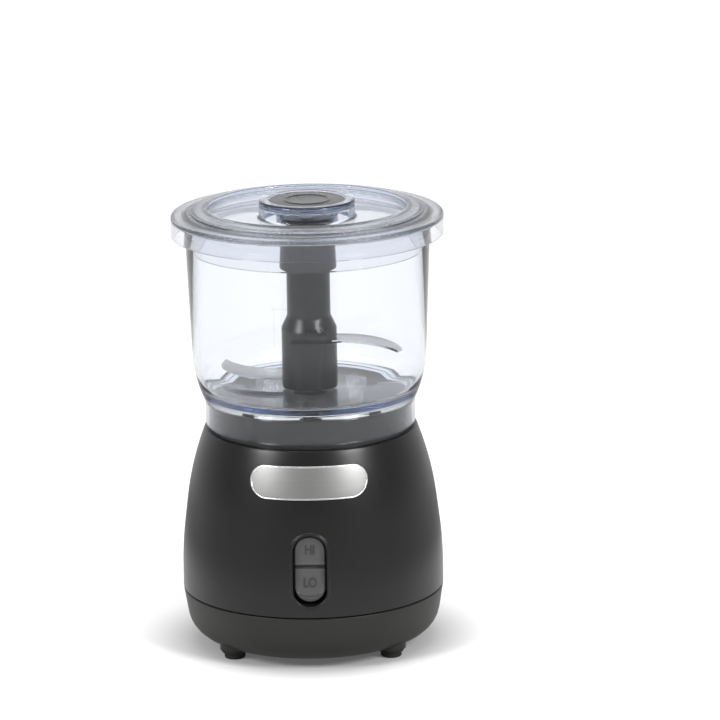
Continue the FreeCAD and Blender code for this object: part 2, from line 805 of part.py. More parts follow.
def seal_seat_radius():
    return spindle_radius + seal_seat_width


# Rubber seal that keeps food out of the spindle's bearing
def make_seal():
    seat = seal_seat_radius()
    lip = spindle_radius + running_fit
    nose = lip + seal_lip_wall
    low = pedestal_roof - seal_flange
    top = pedestal_top + seal_nose_height
    return turned((lip + seal_relief, low), [
        (seat + seal_flange_width, low), (seat + seal_flange_width, pedestal_roof), (seat, pedestal_roof),
        (seat, pedestal_top), (nose, pedestal_top), (nose, top), (lip, top), (lip, top - seal_lip_length),
        (lip + seal_relief, top - seal_lip_length - seal_relief)])


# Press ring: plungers through the pedestal, spigots in the springs and a tab over the lever
def make_press_ring():
    top = pedestal_roof
    low = top - ring_thickness
    pieces = [tube(ring_outer_radius, ring_inner_radius, low, top)]
    for degrees in plunger_angles:
        x, y = polar(plunger_circle, degrees)
        pieces.append(cylinder(plunger_radius, top - 0.5, plunger_top, x, y))
        pieces.append(cylinder(plunger_spigot, low - spigot_length, low + 0.5, x, y))
    tab_x = lever_pivot_x() + lever_contact
    pieces.append(block(tab_x - tab_thickness / 2, tab_x + tab_thickness / 2,
                        interlock_y - tab_width / 2, interlock_y + tab_width / 2,
                        lever_contact_height() + part_gap, low + 0.5))
    return joined(pieces)


def make_press_springs():
    """The hidden springs are drawn as the plain tubes that their turns fill."""
    springs = []
    for degrees in plunger_angles:
        x, y = polar(plunger_circle, degrees)
        springs.append(tube(spring_radius + spring_wire / 2, spring_radius - spring_wire / 2,
                            housing_height, pedestal_roof - ring_thickness, x, y))
    return springs


# Interlock switch with its button and lever
def lever_pivot_x():
    return -interlock_length / 2 + lever_pivot_inset


def lever_pivot_z():
    return housing_height + interlock_height + lever_pin_radius + lever_thickness + part_gap


def lever_contact_height():
    tilt = math.radians(lever_rest_tilt)
    return lever_pivot_z() + lever_contact * math.tan(tilt) + lever_thickness / 2 / math.cos(tilt)


def make_interlock():
    low = housing_height
    top = low + interlock_height
    half = interlock_width / 2
    half_length = interlock_length / 2
    body = block(-half_length, half_length, interlock_y - half, interlock_y + half, low, top)
    pivot_x = lever_pivot_x()
    button_x = pivot_x + button_from_pivot
    body = body.cut(cylinder(button_radius + part_gap, top - button_well, top + 1, button_x, interlock_y))
    ears = []
    for side in (-1, 1):
        y = sorted((interlock_y + side * half, interlock_y + side * (half - lever_ear_wall)))
        ears.append(block(pivot_x - lever_ear, pivot_x + lever_ear, y[0], y[1], top - 0.5,
                          lever_pivot_z() + lever_ear))
    body = joined([body] + ears)
    pin_start = Vector(pivot_x, interlock_y - half, lever_pivot_z())
    pin = Part.makeCylinder(lever_pin_radius, interlock_width, pin_start, Vector(0, 1, 0))
    save("interlock_switch", joined([body, pin]))

    tilt = math.radians(lever_rest_tilt)
    under = lever_pivot_z() + button_from_pivot * math.tan(tilt) - lever_thickness / 2 / math.cos(tilt)
    button_top = under - part_gap
    save("interlock_button", cylinder(button_radius, top - button_root, button_top, button_x, interlock_y))

    y_low = interlock_y - lever_width / 2
    y_high = interlock_y + lever_width / 2
    blade = block(pivot_x, pivot_x + lever_length, y_low, y_high,
                  lever_pivot_z() - lever_thickness / 2, lever_pivot_z() + lever_thickness / 2)
    start = Vector(pivot_x, y_low, lever_pivot_z())
    barrel = Part.makeCylinder(lever_pin_radius + lever_thickness, lever_width, start, Vector(0, 1, 0))
    bore = Part.makeCylinder(lever_pin_radius + running_fit, lever_width, start, Vector(0, 1, 0))
    lever = joined([blade, barrel]).cut(bore)
    lever.rotate(start, Vector(0, 1, 0), -lever_rest_tilt)
    save("interlock_lever", lever)


# Involute gear blank with its first tooth centred on a given direction
def gear_blank(teeth, width, low, x, y, first_tooth):
    pitch_radius = gear_module * teeth / 2
    base = pitch_radius * math.cos(math.radians(pressure_angle))
    tip = pitch_radius + tooth_addendum * gear_module
    root = pitch_radius - tooth_dedendum * gear_module
    start = max(base, root)

    def half_angle(radius):
        alpha = math.acos(min(1, base / radius))
        involute = math.tan(alpha) - alpha
        working = math.radians(pressure_angle)
        at_pitch = math.pi / (2 * teeth) - tooth_backlash / (2 * pitch_radius)
        return at_pitch + (math.tan(working) - working) - involute

    def point(radius, angle):
        return Vector(x + radius * math.cos(angle), y + radius * math.sin(angle), low)

    edges = []
    pitch_angle = 2 * math.pi / teeth
    middle_radius = (start + tip) / 2
    for tooth in range(teeth):
        centre = math.radians(first_tooth) + tooth * pitch_angle
        rise = [point(r, centre - half_angle(r)) for r in (start, middle_radius, tip)]
        fall = [point(r, centre + half_angle(r)) for r in (tip, middle_radius, start)]
        foot_in = point(root, centre - half_angle(start))
        foot_out = point(root, centre + half_angle(start))
        next_foot = point(root, centre + pitch_angle - half_angle(start))
        if start > root:
            edges.append(Part.makeLine(foot_in, rise[0]))
        edges.append(Part.Arc(rise[0], rise[1], rise[2]).toShape())
        edges.append(Part.makeLine(rise[2], fall[0]))
        edges.append(Part.Arc(fall[0], fall[1], fall[2]).toShape())
        if start > root:
            edges.append(Part.makeLine(fall[2], foot_out))
        edges.append(Part.makeLine(foot_out, next_foot))
    return Part.Face(Part.Wire(edges)).extrude(Vector(0, 0, width))


def make_drive_gear():
    low = gear_middle - gear_width / 2
    blank = gear_blank(gear_teeth, gear_width, low, 0, 0, 90)
    hub = cylinder(gear_hub_radius, low - gear_hub_step, low + gear_width + gear_hub_step)
    rim = gear_module * gear_teeth / 2 - tooth_dedendum * gear_module - gear_rim_wall
    tools = [tube(rim, gear_hub_radius, low - 1, low + gear_web_depth),
             tube(rim, gear_hub_radius, low + gear_width - gear_web_depth, low + gear_width + 1)]
    blank = cut_all(blank, tools)
    return joined([blank, hub]).cut(cylinder(spindle_radius + press_fit, low - 2, low + gear_width + 2))


def make_pinion():
    low = gear_middle - pinion_width / 2
    half_pitch = 180 / pinion_teeth
    pinion = gear_blank(pinion_teeth, pinion_width, low, 0, motor_y, 270 + half_pitch)
    return pinion.cut(cylinder(shaft_radius + press_fit, low - 1, low + pinion_width + 1, 0, motor_y))


# Drive spindle with a six-sided head
def hexagon(radius, low, high, chamfer=0.0):
    corners = [Vector(*polar(radius, 60 * side), low) for side in range(7)]
    prism = Part.Face(Part.makePolygon(corners)).extrude(Vector(0, 0, high - low))
    if chamfer:
        nose = turned((0, low), [(radius, low), (radius, high - chamfer),
                                 (radius - chamfer, high), (0, high)])
        prism = prism.common(nose)
    return prism


def make_spindle():
    shaft = cylinder(spindle_radius, spindle_bottom, head_bottom + 1)
    head = hexagon(head_radius, head_bottom, head_top, spindle_head_chamfer)
    groove_low = chassis_bottom - circlip_drop
    groove = tube(spindle_radius + 1, spindle_radius - circlip_groove,
                  groove_low, groove_low + circlip_thickness)
    return joined([shaft, head]).cut(groove)


def make_circlip():
    low = chassis_bottom - circlip_drop
    ring = tube(spindle_radius + circlip_width, spindle_radius - circlip_groove + press_fit,
                low + running_fit, low + circlip_thickness - running_fit)
    mouth = block(-circlip_mouth / 2, circlip_mouth / 2, 0, spindle_radius + circlip_width + 1,
                  low - 1, low + circlip_thickness + 1)
    return ring.cut(mouth)


def make_spindle_bushes():
    outer = spindle_radius + spindle_bush_wall
    inner = spindle_radius + running_fit
    hub_top_face = gear_middle + gear_width / 2 + gear_hub_step
    save("upper_spindle_bush", tube(outer, inner, boss_bottom, boss_bottom + upper_bush_length))
    low = chassis_bottom - bush_tail
    high = chassis_top + bush_flange_thickness
    flange = tube(outer + bush_flange_width, inner, chassis_top, high)
    save("lower_spindle_bush", joined([tube(outer, inner, low, chassis_top + 0.5), flange]))
    washer_outer = gear_hub_radius
    gear_low = gear_middle - gear_width / 2 - gear_hub_step
    washers = [tube(washer_outer, inner, high + mould_gap, gear_low - mould_gap),
               tube(washer_outer, inner, hub_top_face + mould_gap, boss_bottom - mould_gap)]
    save("spindle_washers", washers)


# Chassis that carries the gears and hangs the motor from its four columns
def motor_corners():
    inset = motor_column_radius - part_gap
    x = stator_width / 2 - inset
    y = stator_depth / 2 - inset
    return [(a, motor_y + b) for a, b in four_corners(x, y)]


def make_chassis():
    pieces = [cylinder(chassis_radius, chassis_bottom, chassis_top)]
    bush = spindle_radius + spindle_bush_wall
    motor_bush = shaft_radius + motor_bush_wall
    for x, y in motor_corners():
        pieces.append(cylinder(motor_column_radius, stator_top, chassis_bottom + 0.5, x, y))
    body = joined(pieces)
    tools = [cylinder(bush + press_fit, 0, housing_height),
             cylinder(motor_bush + press_fit, 0, housing_height, 0, motor_y)]
    for x, y in four_corners(chassis_post_x, chassis_post_y):
        tools.append(cylinder(screw_core_radius + part_gap, 0, housing_height, x, y))
    for x, y in motor_corners():
        tools.append(cylinder(motor_screw_radius, 0, chassis_bottom + 1, x, y))
    half_notch = chassis_notch_width / 2
    tools.append(block(-half_notch, half_notch, -chassis_radius - 1, -chassis_radius + chassis_notch_depth,
                       chassis_bottom - 1, chassis_top + 1))
    for radius, x, y in chassis_holes:
        tools += [cylinder(radius, chassis_bottom - 1, chassis_top + 1, side * x, y) for side in (-1, 1)]
    return cut_all(body, tools)


# Universal motor: laminated stator, field coils, armature, brushes and end frame
def make_stator():
    half_x = stator_width / 2
    half_y = stator_depth / 2
    outer = block(-half_x, half_x, -half_y, half_y, stator_bottom, stator_top)
    upright = [e for e in outer.Edges if e.BoundBox.ZLength > 1]
    outer = outer.makeFillet(motor_column_radius, upright)
    room_x = half_x - stator_frame
    room_y = half_y - stator_frame
    room = block(-room_x, room_x, -room_y, room_y, stator_bottom - 1, stator_top + 1)
    frame = outer.cut(room)
    shoe_radius = pole_bore_radius + pole_shoe
    shoe_half = shoe_radius * math.sin(math.radians(pole_angle))
    shoes = tube(shoe_radius, pole_bore_radius, stator_bottom, stator_top)
    shoes = shoes.cut(block(-pole_bore_radius * 0.6, pole_bore_radius * 0.6, -half_y, half_y,
                            stator_bottom - 1, stator_top + 1))
    shoes = shoes.common(block(-half_x, half_x, -shoe_half, shoe_half, stator_bottom, stator_top))
    pieces = [frame, shoes]
    for side in (-1, 1):
        reach = sorted((side * (pole_bore_radius + 1), side * (room_x + 1)))
        neck = block(reach[0], reach[1], -pole_neck / 2, pole_neck / 2, stator_bottom, stator_top)
        pieces.append(neck.cut(cylinder(pole_bore_radius, stator_bottom - 1, stator_top + 1)))
    body = joined(pieces)
    body.translate(Vector(0, motor_y, 0))
    holes = [cylinder(motor_screw_radius + mould_gap, 0, housing_height, x, y) for x, y in motor_corners()]
    return cut_all(body, holes)


def make_field_coils():
    shoe_radius = pole_bore_radius + pole_shoe
    coils = []
    for side in (-1, 1):
        near = shoe_radius + part_gap
        far = stator_width / 2 - stator_frame - mould_gap
        reach = sorted((side * near, side * far))
        half_y = pole_neck / 2 + mould_gap
        low = stator_bottom - mould_gap
        high = stator_top + mould_gap
        outer = block(reach[0], reach[1], -half_y - coil_build, half_y + coil_build,
                      low - coil_end, high + coil_end)
        corners = [e for e in outer.Edges if e.BoundBox.XLength > 1]
        outer = outer.makeFillet(coil_build * 0.8, corners)
        coil = outer.cut(block(reach[0] - 1, reach[1] + 1, -half_y, half_y, low, high))
        coil.translate(Vector(0, motor_y, 0))
        coils.append(coil)
    return coils


def make_armature():
    top = gear_middle + pinion_width / 2 + shaft_tip
    save("armature_shaft", cylinder(shaft_radius, shaft_bottom, top, 0, motor_y))
    bore = shaft_radius + press_fit
    core = tube(core_radius, bore, stator_bottom, stator_top, 0, motor_y)
    cuts = []
    for slot in range(core_slots):
        cutter = block(core_radius - core_slot_depth, core_radius + 2,
                       -core_slot_width / 2, core_slot_width / 2, stator_bottom - 1, stator_top + 1)
        cutter.rotate(Vector(0, 0, 0), UP, (slot + 0.5) * 360 / core_slots)
        cutter.translate(Vector(0, motor_y, 0))
        cuts.append(cutter)
    save("armature_core", cut_all(core, cuts))
    outer = core_radius - winding_inset
    ends = []
    for low in (stator_top, stator_bottom - winding_end):
        high = low + winding_end
        middle = (low + high) / 2
        ends.append(turned((bore, low), [(outer - winding_bevel, low), (outer, middle),
                                         (outer - winding_bevel, high), (bore, high)], 0, motor_y))
    save("armature_windings", ends)

    riser = commutator_radius + riser_width
    bars = turned((bore, commutator_bottom), [
        (commutator_radius, commutator_bottom), (commutator_radius, commutator_top - 1.5 * riser_height),
        (riser, commutator_top - riser_height), (riser, commutator_top), (bore, commutator_top)], 0, motor_y)
    cuts = []
    for bar in range(commutator_bars):
        cutter = block(commutator_radius - 1, riser + 1, -commutator_slot / 2, commutator_slot / 2,
                       commutator_bottom - 1, commutator_top + 1)
        cutter.rotate(Vector(0, 0, 0), UP, bar * 360 / commutator_bars)
        cutter.translate(Vector(0, motor_y, 0))
        cuts.append(cutter)
    save("commutator", cut_all(bars, cuts))


def fan_low():
    return stator_top + coil_end + 2 * mould_gap + fan_gap


def make_fan():
    low = fan_low()
    high = low + fan_height
    pieces = [cylinder(fan_hub_radius, low, high), cylinder(fan_radius, high - fan_disc, high)]
    for number in range(fan_blades):
        blade = block(fan_hub_radius - 1, fan_radius - fan_blade_inset,
                      -fan_blade_thickness / 2, fan_blade_thickness / 2, low, high - fan_disc / 2)
        blade.rotate(Vector(fan_hub_radius, 0, 0), UP, fan_lean)
        blade.rotate(Vector(0, 0, 0), UP, number * 360 / fan_blades)
        pieces.append(blade.common(cylinder(fan_radius, low, high)))
    fan = joined(pieces).cut(cylinder(shaft_radius + press_fit, low - 1, high + 1))
    fan.translate(Vector(0, motor_y, 0))
    return fan


def make_motor_bushes():
    outer = shaft_radius + motor_bush_wall
    inner = shaft_radius + running_fit
    save("upper_motor_bush", tube(outer, inner, chassis_bottom - motor_bush_lip, chassis_top + motor_bush_lip,
                                  0, motor_y))
    save("lower_motor_bush", tube(outer, inner, frame_top - motor_bush_length, frame_top, 0, motor_y))


def make_end_frame():
    pocket = shaft_radius + motor_bush_wall
    arms = []
    corners = motor_corners()
    for x, y in corners:
        arms.append(cylinder(motor_column_radius, frame_bottom, stator_bottom, x, y))
    y_low = min(y for x, y in corners)
    y_high = max(y for x, y in corners)
    x_high = max(x for x, y in corners)
    for side in (-1, 1):
        edge = sorted((side * x_high - frame_arm_width / 2, side * x_high + frame_arm_width / 2))
        arms.append(block(edge[0], edge[1], y_low, y_high, frame_bottom, frame_top))
    half_bridge = frame_bridge_width / 2
    arms.append(block(-x_high, x_high, motor_y - half_bridge, motor_y + half_bridge, frame_bottom, frame_top))
    arms.append(cylinder(pocket + frame_pocket_wall, frame_top - motor_bush_length, frame_top, 0, motor_y))
    body = joined(arms)
    tools = [cylinder(pocket + press_fit, 0, housing_height, 0, motor_y)]
    for x, y in corners:
        tools.append(cylinder(motor_screw_radius + mould_gap, 0, housing_height, x, y))
    return cut_all(body, tools)


def make_motor_screws():
    length = chassis_bottom - screw_tip_gap - frame_bottom
    return [make_screw(x, y, frame_bottom - screw_head_height, length, motor_screw_radius)
            for x, y in motor_corners()]


def make_brushes():
    middle = frame_top + holder_wall + mould_gap + brush_height / 2
    tip = commutator_radius + part_gap
    near = commutator_radius + holder_gap
    holders, brushes, springs = [], [], []
    for side in (-1, 1):
        def span(a, b):
            return sorted((side * a, side * b))

        half_y = brush_width / 2 + mould_gap
        half_z = brush_height / 2 + mould_gap
        x = span(near, near + holder_length)
        case = block(x[0], x[1], motor_y - half_y - holder_wall, motor_y + half_y + holder_wall,
                     frame_top, middle + half_z + holder_wall)
        x = span(near - 1, near + holder_length - holder_wall)
        case = case.cut(block(x[0], x[1], motor_y - half_y, motor_y + half_y,
                              middle - half_z, middle + half_z))
        holders.append(case)
        x = span(tip, tip + brush_length)
        brush = block(x[0], x[1], motor_y - brush_width / 2, motor_y + brush_width / 2,
                      middle - brush_height / 2, middle + brush_height / 2)
        brushes.append(brush.cut(cylinder(tip, 0, housing_height, 0, motor_y)))
        start = tip + brush_length
        end = near + holder_length - holder_wall
        x = span(start, end)
        outer = brush_spring_radius + brush_spring_wire / 2
        bore = rod_x(brush_spring_radius - brush_spring_wire / 2, x[0] - 1, x[1] + 1, motor_y, middle)
        springs.append(rod_x(outer, x[0], x[1], motor_y, middle).cut(bore))
    save("brush_holders", holders)
    save("carbon_brushes", brushes)
    save("brush_springs", springs)


# Clear bowl: one revolved outline, with a chimney for the spindle and a key inside the skirt
def make_bowl():
    wall = bowl_wall
    neck = (bowl_foot_radius, skirt_bottom + bowl_neck_height)
    waist = (bowl_waist_radius, bowl_bottom + bowl_waist_height)
    rim = (bowl_rim_radius, bowl_rim - bowl_edge)
    inner_rim = (bowl_rim_radius - wall, bowl_rim)
    inner_waist = (bowl_waist_radius - wall, waist[1] + wall / 2)
    lean = (bowl_waist_radius - bowl_foot_radius) / (waist[1] - neck[1])
    corner = (inner_waist[0] - lean * (inner_waist[1] - bowl_floor_top), bowl_floor_top)
    floor = (chimney_outer, bowl_floor_top)
    skirt_inner = bowl_foot_radius - bowl_skirt_wall
    body = turned((skirt_inner, skirt_bottom), [
        (bowl_foot_radius, skirt_bottom), neck, eased(neck, waist, rim, bowl_waist_blend), rim,
        (bowl_rim_radius - bowl_edge, bowl_rim), inner_rim, inner_waist,
        eased(inner_waist, corner, floor, bowl_inner_blend), floor,
        (chimney_outer, chimney_top), (chimney_inner, chimney_top), (chimney_inner, bowl_bottom),
        (skirt_inner, bowl_bottom)])
    key = block(-key_width / 2, key_width / 2, skirt_inner - key_depth, skirt_inner + 1,
                skirt_bottom, bowl_bottom - bowl_key_gap)
    return joined([body, key])


# Blade unit: moulded hub, drive insert and two swept blades
def blade_shape(level, direction):
    """Swept arm with a ground cutting edge, on a ring that the hub is moulded round."""
    tip = blade_tip_radius
    belly = tip * blade_belly
    root = sleeve_radius - blade_root_depth
    half = math.degrees(math.asin(blade_root_width / 2 / root))
    tip_lead = math.degrees(blade_tip_width / tip) - blade_sweep
    lead = [polar(root, half), polar(belly, blade_belly_lead), polar(tip, tip_lead)]
    trail = [polar(tip, -blade_sweep), polar(belly, -blade_belly_trail), polar(root, -half)]

    def arm_wire(grind, z):
        front = []
        for x, y in lead:
            reach = math.hypot(x, y)
            angle = math.atan2(y, x) - grind / reach
            front.append(Vector(reach * math.cos(angle), reach * math.sin(angle), z))
        rear = [Vector(x, y, z) for x, y in trail]
        edges = [Part.Arc(front[0], front[1], front[2]).toShape(), Part.makeLine(front[2], rear[0]),
                 Part.Arc(rear[0], rear[1], rear[2]).toShape(), Part.makeLine(rear[2], front[0])]
        return Part.Wire(edges)

    top = level + blade_thickness
    edge = Part.Face(arm_wire(0, level)).extrude(Vector(0, 0, blade_edge))
    ground = Part.makeLoft([arm_wire(0, level + blade_edge), arm_wire(blade_grind, top)], True, True)
    ring = cylinder(sleeve_radius - blade_ring_cover, level, top)
    blade = joined([edge, ground, ring])
    blade = blade.cut(cylinder(socket_radius + blade_ring_gap, level - 1, top + 1))
    blade.rotate(Vector(0, 0, 0), UP, direction)
    return blade


def make_blade_unit():
    lower = blade_shape(hub_bottom + lower_blade_rise, 180)
    upper = blade_shape(hub_bottom + upper_blade_rise, 0)
    save("lower_blade", lower)
    save("upper_blade", upper)

    sleeve_top = hub_bottom + upper_blade_rise + blade_thickness + sleeve_over_blade
    cap_low = hub_top - hub_cap_height
    insert_radius = head_radius + drive_gap + insert_wall
    insert_top = insert_bottom + insert_length
    seat_radius = insert_radius + press_fit
    hub = turned((socket_radius, hub_bottom), [
        (sleeve_radius, hub_bottom), (sleeve_radius, sleeve_top), (stem_radius, sleeve_top + hub_taper),
        (stem_radius, cap_low - hub_cap_bevel), (hub_cap_radius, cap_low),
        (hub_cap_top_radius, hub_top - hub_top_bevel), (hub_cap_top_radius - hub_top_bevel, hub_top),
        (0, hub_top), (0, insert_top), (seat_radius, insert_top), (seat_radius, insert_bottom),
        (socket_radius, insert_bottom)])
    hub = cut_all(hub, [lower, upper])
    save("blade_hub", hub)

    insert = cylinder(insert_radius, insert_bottom, insert_top)
    bore_top = head_top + press_travel + floor_clearance
    insert = insert.cut(hexagon(head_radius + drive_gap, insert_bottom - 1, bore_top))
    save("hub_drive_insert", insert)


# Clear lid: skirt, stepped ring, recess, press boss, plug and guide collar
def make_lid():
    wall = lid_wall
    edge_top = bowl_rim + lid_edge_rise
    ring_top = bowl_rim + lid_ring_rise
    boss_top = bowl_rim + lid_boss_rise
    recess_top = ring_top - lid_recess_depth
    recess_low = recess_top - wall
    skirt_low = bowl_rim - lid_skirt_drop
    step_top = bowl_rim + lid_step_rise
    plug_outer = bowl_rim_radius - bowl_wall - lid_plug_gap
    plug_inner = plug_outer - lid_plug_wall
    plug_low = bowl_rim - lid_plug_depth
    skirt_inner = lid_radius - wall
    seat_outer = bowl_rim_radius + lid_seat_width
    boss_inner = lid_boss_radius - wall
    guide_inner = hub_cap_top_radius + guide_gap
    guide_outer = guide_inner + guide_wall
    guide_low = hub_top - guide_overlap
    disc_radius = lid_boss_radius - lid_boss_rim
    disc_seat = boss_top - lid_disc_sink
    under_boss = disc_seat - wall
    keeper_low = hub_top + keeper_gap
    skirt_foot = (lid_radius, skirt_low)
    edge = (lid_radius, edge_top)
    step = (lid_step_radius, step_top - lid_step)
    boss_foot = (lid_boss_radius, recess_top)
    boss = (lid_boss_radius, boss_top)
    disc_edge = (disc_radius, boss_top)
    body = turned((skirt_inner, skirt_low), [
        skirt_foot, eased(skirt_foot, edge, step, lid_edge_blend), step,
        (lid_step_radius - lid_draft, step_top), (lid_ring_radius, ring_top),
        (lid_ring_radius - lid_draft, recess_top), boss_foot,
        eased(boss_foot, boss, disc_edge, lid_boss_blend), disc_edge,
        (disc_radius, disc_seat), (0, disc_seat), (0, keeper_low),
        (keeper_radius, keeper_low), (keeper_radius, under_boss), (guide_inner, under_boss),
        (guide_inner, guide_low), (guide_outer, guide_low), (guide_outer, under_boss),
        (boss_inner, under_boss), (boss_inner, recess_low), (lid_ring_radius + wall - lid_draft, recess_low),
        (lid_ring_radius + wall, ring_top - wall), (plug_inner, step_top - wall), (plug_inner, plug_low),
        (plug_outer, plug_low), (plug_outer, bowl_rim), (seat_outer, bowl_rim),
        (skirt_inner, edge_top - wall)])
    save("lid", body)
    disc = cylinder(disc_radius - mould_gap, disc_seat, disc_seat + lid_disc_thickness)
    ridge = tube(disc_ridge_radius, disc_ridge_radius - disc_ridge_width, disc_seat,
                 disc_seat + lid_disc_thickness + disc_ridge_height)
    save("lid_press_disc", joined([disc, ridge]))


save("housing_shell", make_housing())
save("base_pan", make_pan())
make_feet()
make_screws()
save("cord_bush", make_cord_bush())
save("badge_plate", make_badge())
save("speed_rocker", make_rocker())
make_rocker_switch()
save("pedestal", make_pedestal())
save("spindle_seal", make_seal())
save("press_ring", make_press_ring())
save("press_springs", make_press_springs())
make_interlock()
save("drive_gear", make_drive_gear())
save("motor_pinion", make_pinion())
save("drive_spindle", make_spindle())
save("spindle_circlip", make_circlip())
make_spindle_bushes()
save("gear_chassis", make_chassis())
save("stator_stack", make_stator())
save("field_coils", make_field_coils())
make_armature()
save("motor_fan", make_fan())
make_motor_bushes()
save("motor_end_frame", make_end_frame())
save("motor_screws", make_motor_screws())
make_brushes()
save("bowl", make_bowl())
make_blade_unit()
make_lid()
print("parts written:", len(os.listdir("parts")))
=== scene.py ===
import json
import math

import bmesh
import bpy
from mathutils import Matrix, Vector


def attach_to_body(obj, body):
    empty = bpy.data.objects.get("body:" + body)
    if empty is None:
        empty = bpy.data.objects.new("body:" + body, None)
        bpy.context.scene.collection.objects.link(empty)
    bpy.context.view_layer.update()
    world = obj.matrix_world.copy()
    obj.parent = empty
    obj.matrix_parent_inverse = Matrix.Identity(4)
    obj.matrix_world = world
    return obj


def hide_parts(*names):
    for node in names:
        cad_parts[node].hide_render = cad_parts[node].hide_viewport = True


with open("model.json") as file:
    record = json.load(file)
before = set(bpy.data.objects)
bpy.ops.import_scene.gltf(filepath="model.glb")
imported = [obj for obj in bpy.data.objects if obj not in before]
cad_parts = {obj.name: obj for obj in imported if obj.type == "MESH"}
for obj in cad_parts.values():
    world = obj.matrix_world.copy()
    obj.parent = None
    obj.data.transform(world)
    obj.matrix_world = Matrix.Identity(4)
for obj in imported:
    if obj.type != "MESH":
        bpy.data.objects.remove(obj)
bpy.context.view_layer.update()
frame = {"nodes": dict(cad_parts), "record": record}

# Food chopper with a press-down lid. Sizes in the dictionaries are millimetres, heights are above the table.
mm = 0.001
scene = bpy.context.scene
print("frame loaded:", len(frame["nodes"]), "nodes")

camera = {
    "target": (0, 0, 115),
    "distance": 2334,
    "elevation": 14.81,
    "swing": 1.6,           # degrees to the object's right
    "roll": 1.05,
    "focus": 4547,          # focal length in pixels of the picture
    "targetPixel": (310.8, 421.6),
    "picture": 720,
    "sensor": 36,
}


def aimCamera(c):
    rise = math.radians(c["elevation"])
    swing = math.radians(c["swing"])
    roll = math.radians(c["roll"])
    back = Vector((math.sin(swing) * math.cos(rise), -math.cos(swing) * math.cos(rise), math.sin(rise)))
    flatRight = Vector((math.cos(swing), math.sin(swing), 0))
    flatUp = back.cross(flatRight)
    right = flatRight * math.cos(roll) - flatUp * math.sin(roll)
    up = flatUp * math.cos(roll) + flatRight * math.sin(roll)
    target = Vector(c["target"]) * mm
    place = target + back * c["distance"] * mm
    # the object stands left of the middle and low, so the camera looks past it
    scale = c["distance"] * mm / c["focus"]
    aside = (c["picture"] / 2 - c["targetPixel"][0]) * scale
    above = (c["targetPixel"][1] - c["picture"] / 2) * scale
    aim = target + right * aside + up * above
    back = (place - aim).normalized()
    right = up.cross(back).normalized()
    up = back.cross(right)
    lensData = bpy.data.cameras.new("camera")
    lensData.sensor_width = c["sensor"]
    lensData.lens = c["focus"] * c["sensor"] / c["picture"]
    lensData.clip_end = 20
    holder = bpy.data.objects.new("camera", lensData)
    scene.collection.objects.link(holder)
    turn = Matrix((right, up, back)).transposed()
    holder.matrix_world = Matrix.Translation(place) @ turn.to_4x4()
    scene.camera = holder


aimCamera(camera)
print("camera placed")

studio = {
    "roomLight": 0.32,          # world on the camera's side of the object
    "backLight": 1.0,           # and behind it
    "turn": (-0.25, 0.9),       # share of the way back at which the world starts and ends its change
    "floorSize": 9000,
    "paintedShadow": (50, 100),         # painted shadow: the paper is painted darker close to the object, between these radii
    "paintedShadowColour": 0.40,
    "paper": (200, 300),        # and gives way to the table between these
    "paperColour": 0.88,
    "tableColour": 0.3,
    "paperLift": 0.1,           # white added where the floor is looked at, straight or through glass
    "tableLift": 0.85,
    "mirrorFade": (330, 620),   # in a mirror it is added between these radii
    "mirrorLift": 0.65,
    "lamps": {
        "leftBox": {"at": (-880, -740, 760), "size": (360, 420), "power": 14.0},
        "rightBox": {"at": (850, -770, 760), "size": (360, 420), "power": 17.0},
        "topBox": {"at": (0, -250, 1300), "size": (800, 600), "power": 5.0},
    },
}


def addNode(tree, kind, **settings):
    node = tree.nodes.new(kind)
    for name, value in settings.items():
        setattr(node, name, value)
    return node


def fadeNode(tree, source, start, end):
    # 0 to 1 while the source goes from start to end
    node = addNode(tree, "ShaderNodeMapRange", interpolation_type="SMOOTHSTEP")
    node.inputs["From Min"].default_value = start
    node.inputs["From Max"].default_value = end
    tree.links.new(source, node.inputs["Value"])
    return node


def makeWorld(s):
    world = bpy.data.worlds.new("studio")
    scene.world = world
    world.use_nodes = True
    tree = world.node_tree
    tree.nodes.clear()
    # white behind the object and greyer on the camera's side, which draws the edges of clear plastic
    way = addNode(tree, "ShaderNodeTexCoord")
    split = addNode(tree, "ShaderNodeSeparateXYZ")
    tree.links.new(way.outputs["Generated"], split.inputs[0])
    fade = fadeNode(tree, split.outputs["Y"], *s["turn"])
    fade.inputs["To Min"].default_value = s["roomLight"]
    fade.inputs["To Max"].default_value = s["backLight"]
    path = addNode(tree, "ShaderNodeLightPath")
    strength = addNode(tree, "ShaderNodeMath", operation="MAXIMUM")
    tree.links.new(fade.outputs["Result"], strength.inputs[0])
    tree.links.new(path.outputs["Is Camera Ray"], strength.inputs[1])
    light = addNode(tree, "ShaderNodeBackground")
    light.inputs["Color"].default_value = (1, 1, 1, 1)
    tree.links.new(strength.outputs[0], light.inputs["Strength"])
    out = addNode(tree, "ShaderNodeOutputWorld")
    tree.links.new(light.outputs[0], out.inputs["Surface"])


def makeLamps(lamps):
    for name, lamp in lamps.items():
        data = bpy.data.lights.new(name, "AREA")
        data.shape = "RECTANGLE"
        data.size = lamp["size"][0] * mm
        data.size_y = lamp["size"][1] * mm
        data.energy = lamp["power"]
        holder = bpy.data.objects.new(name, data)
        scene.collection.objects.link(holder)
        holder.location = Vector(lamp["at"]) * mm
        down = Vector(camera["target"]) * mm - holder.location
        holder.rotation_euler = down.to_track_quat("-Z", "Y").to_euler()


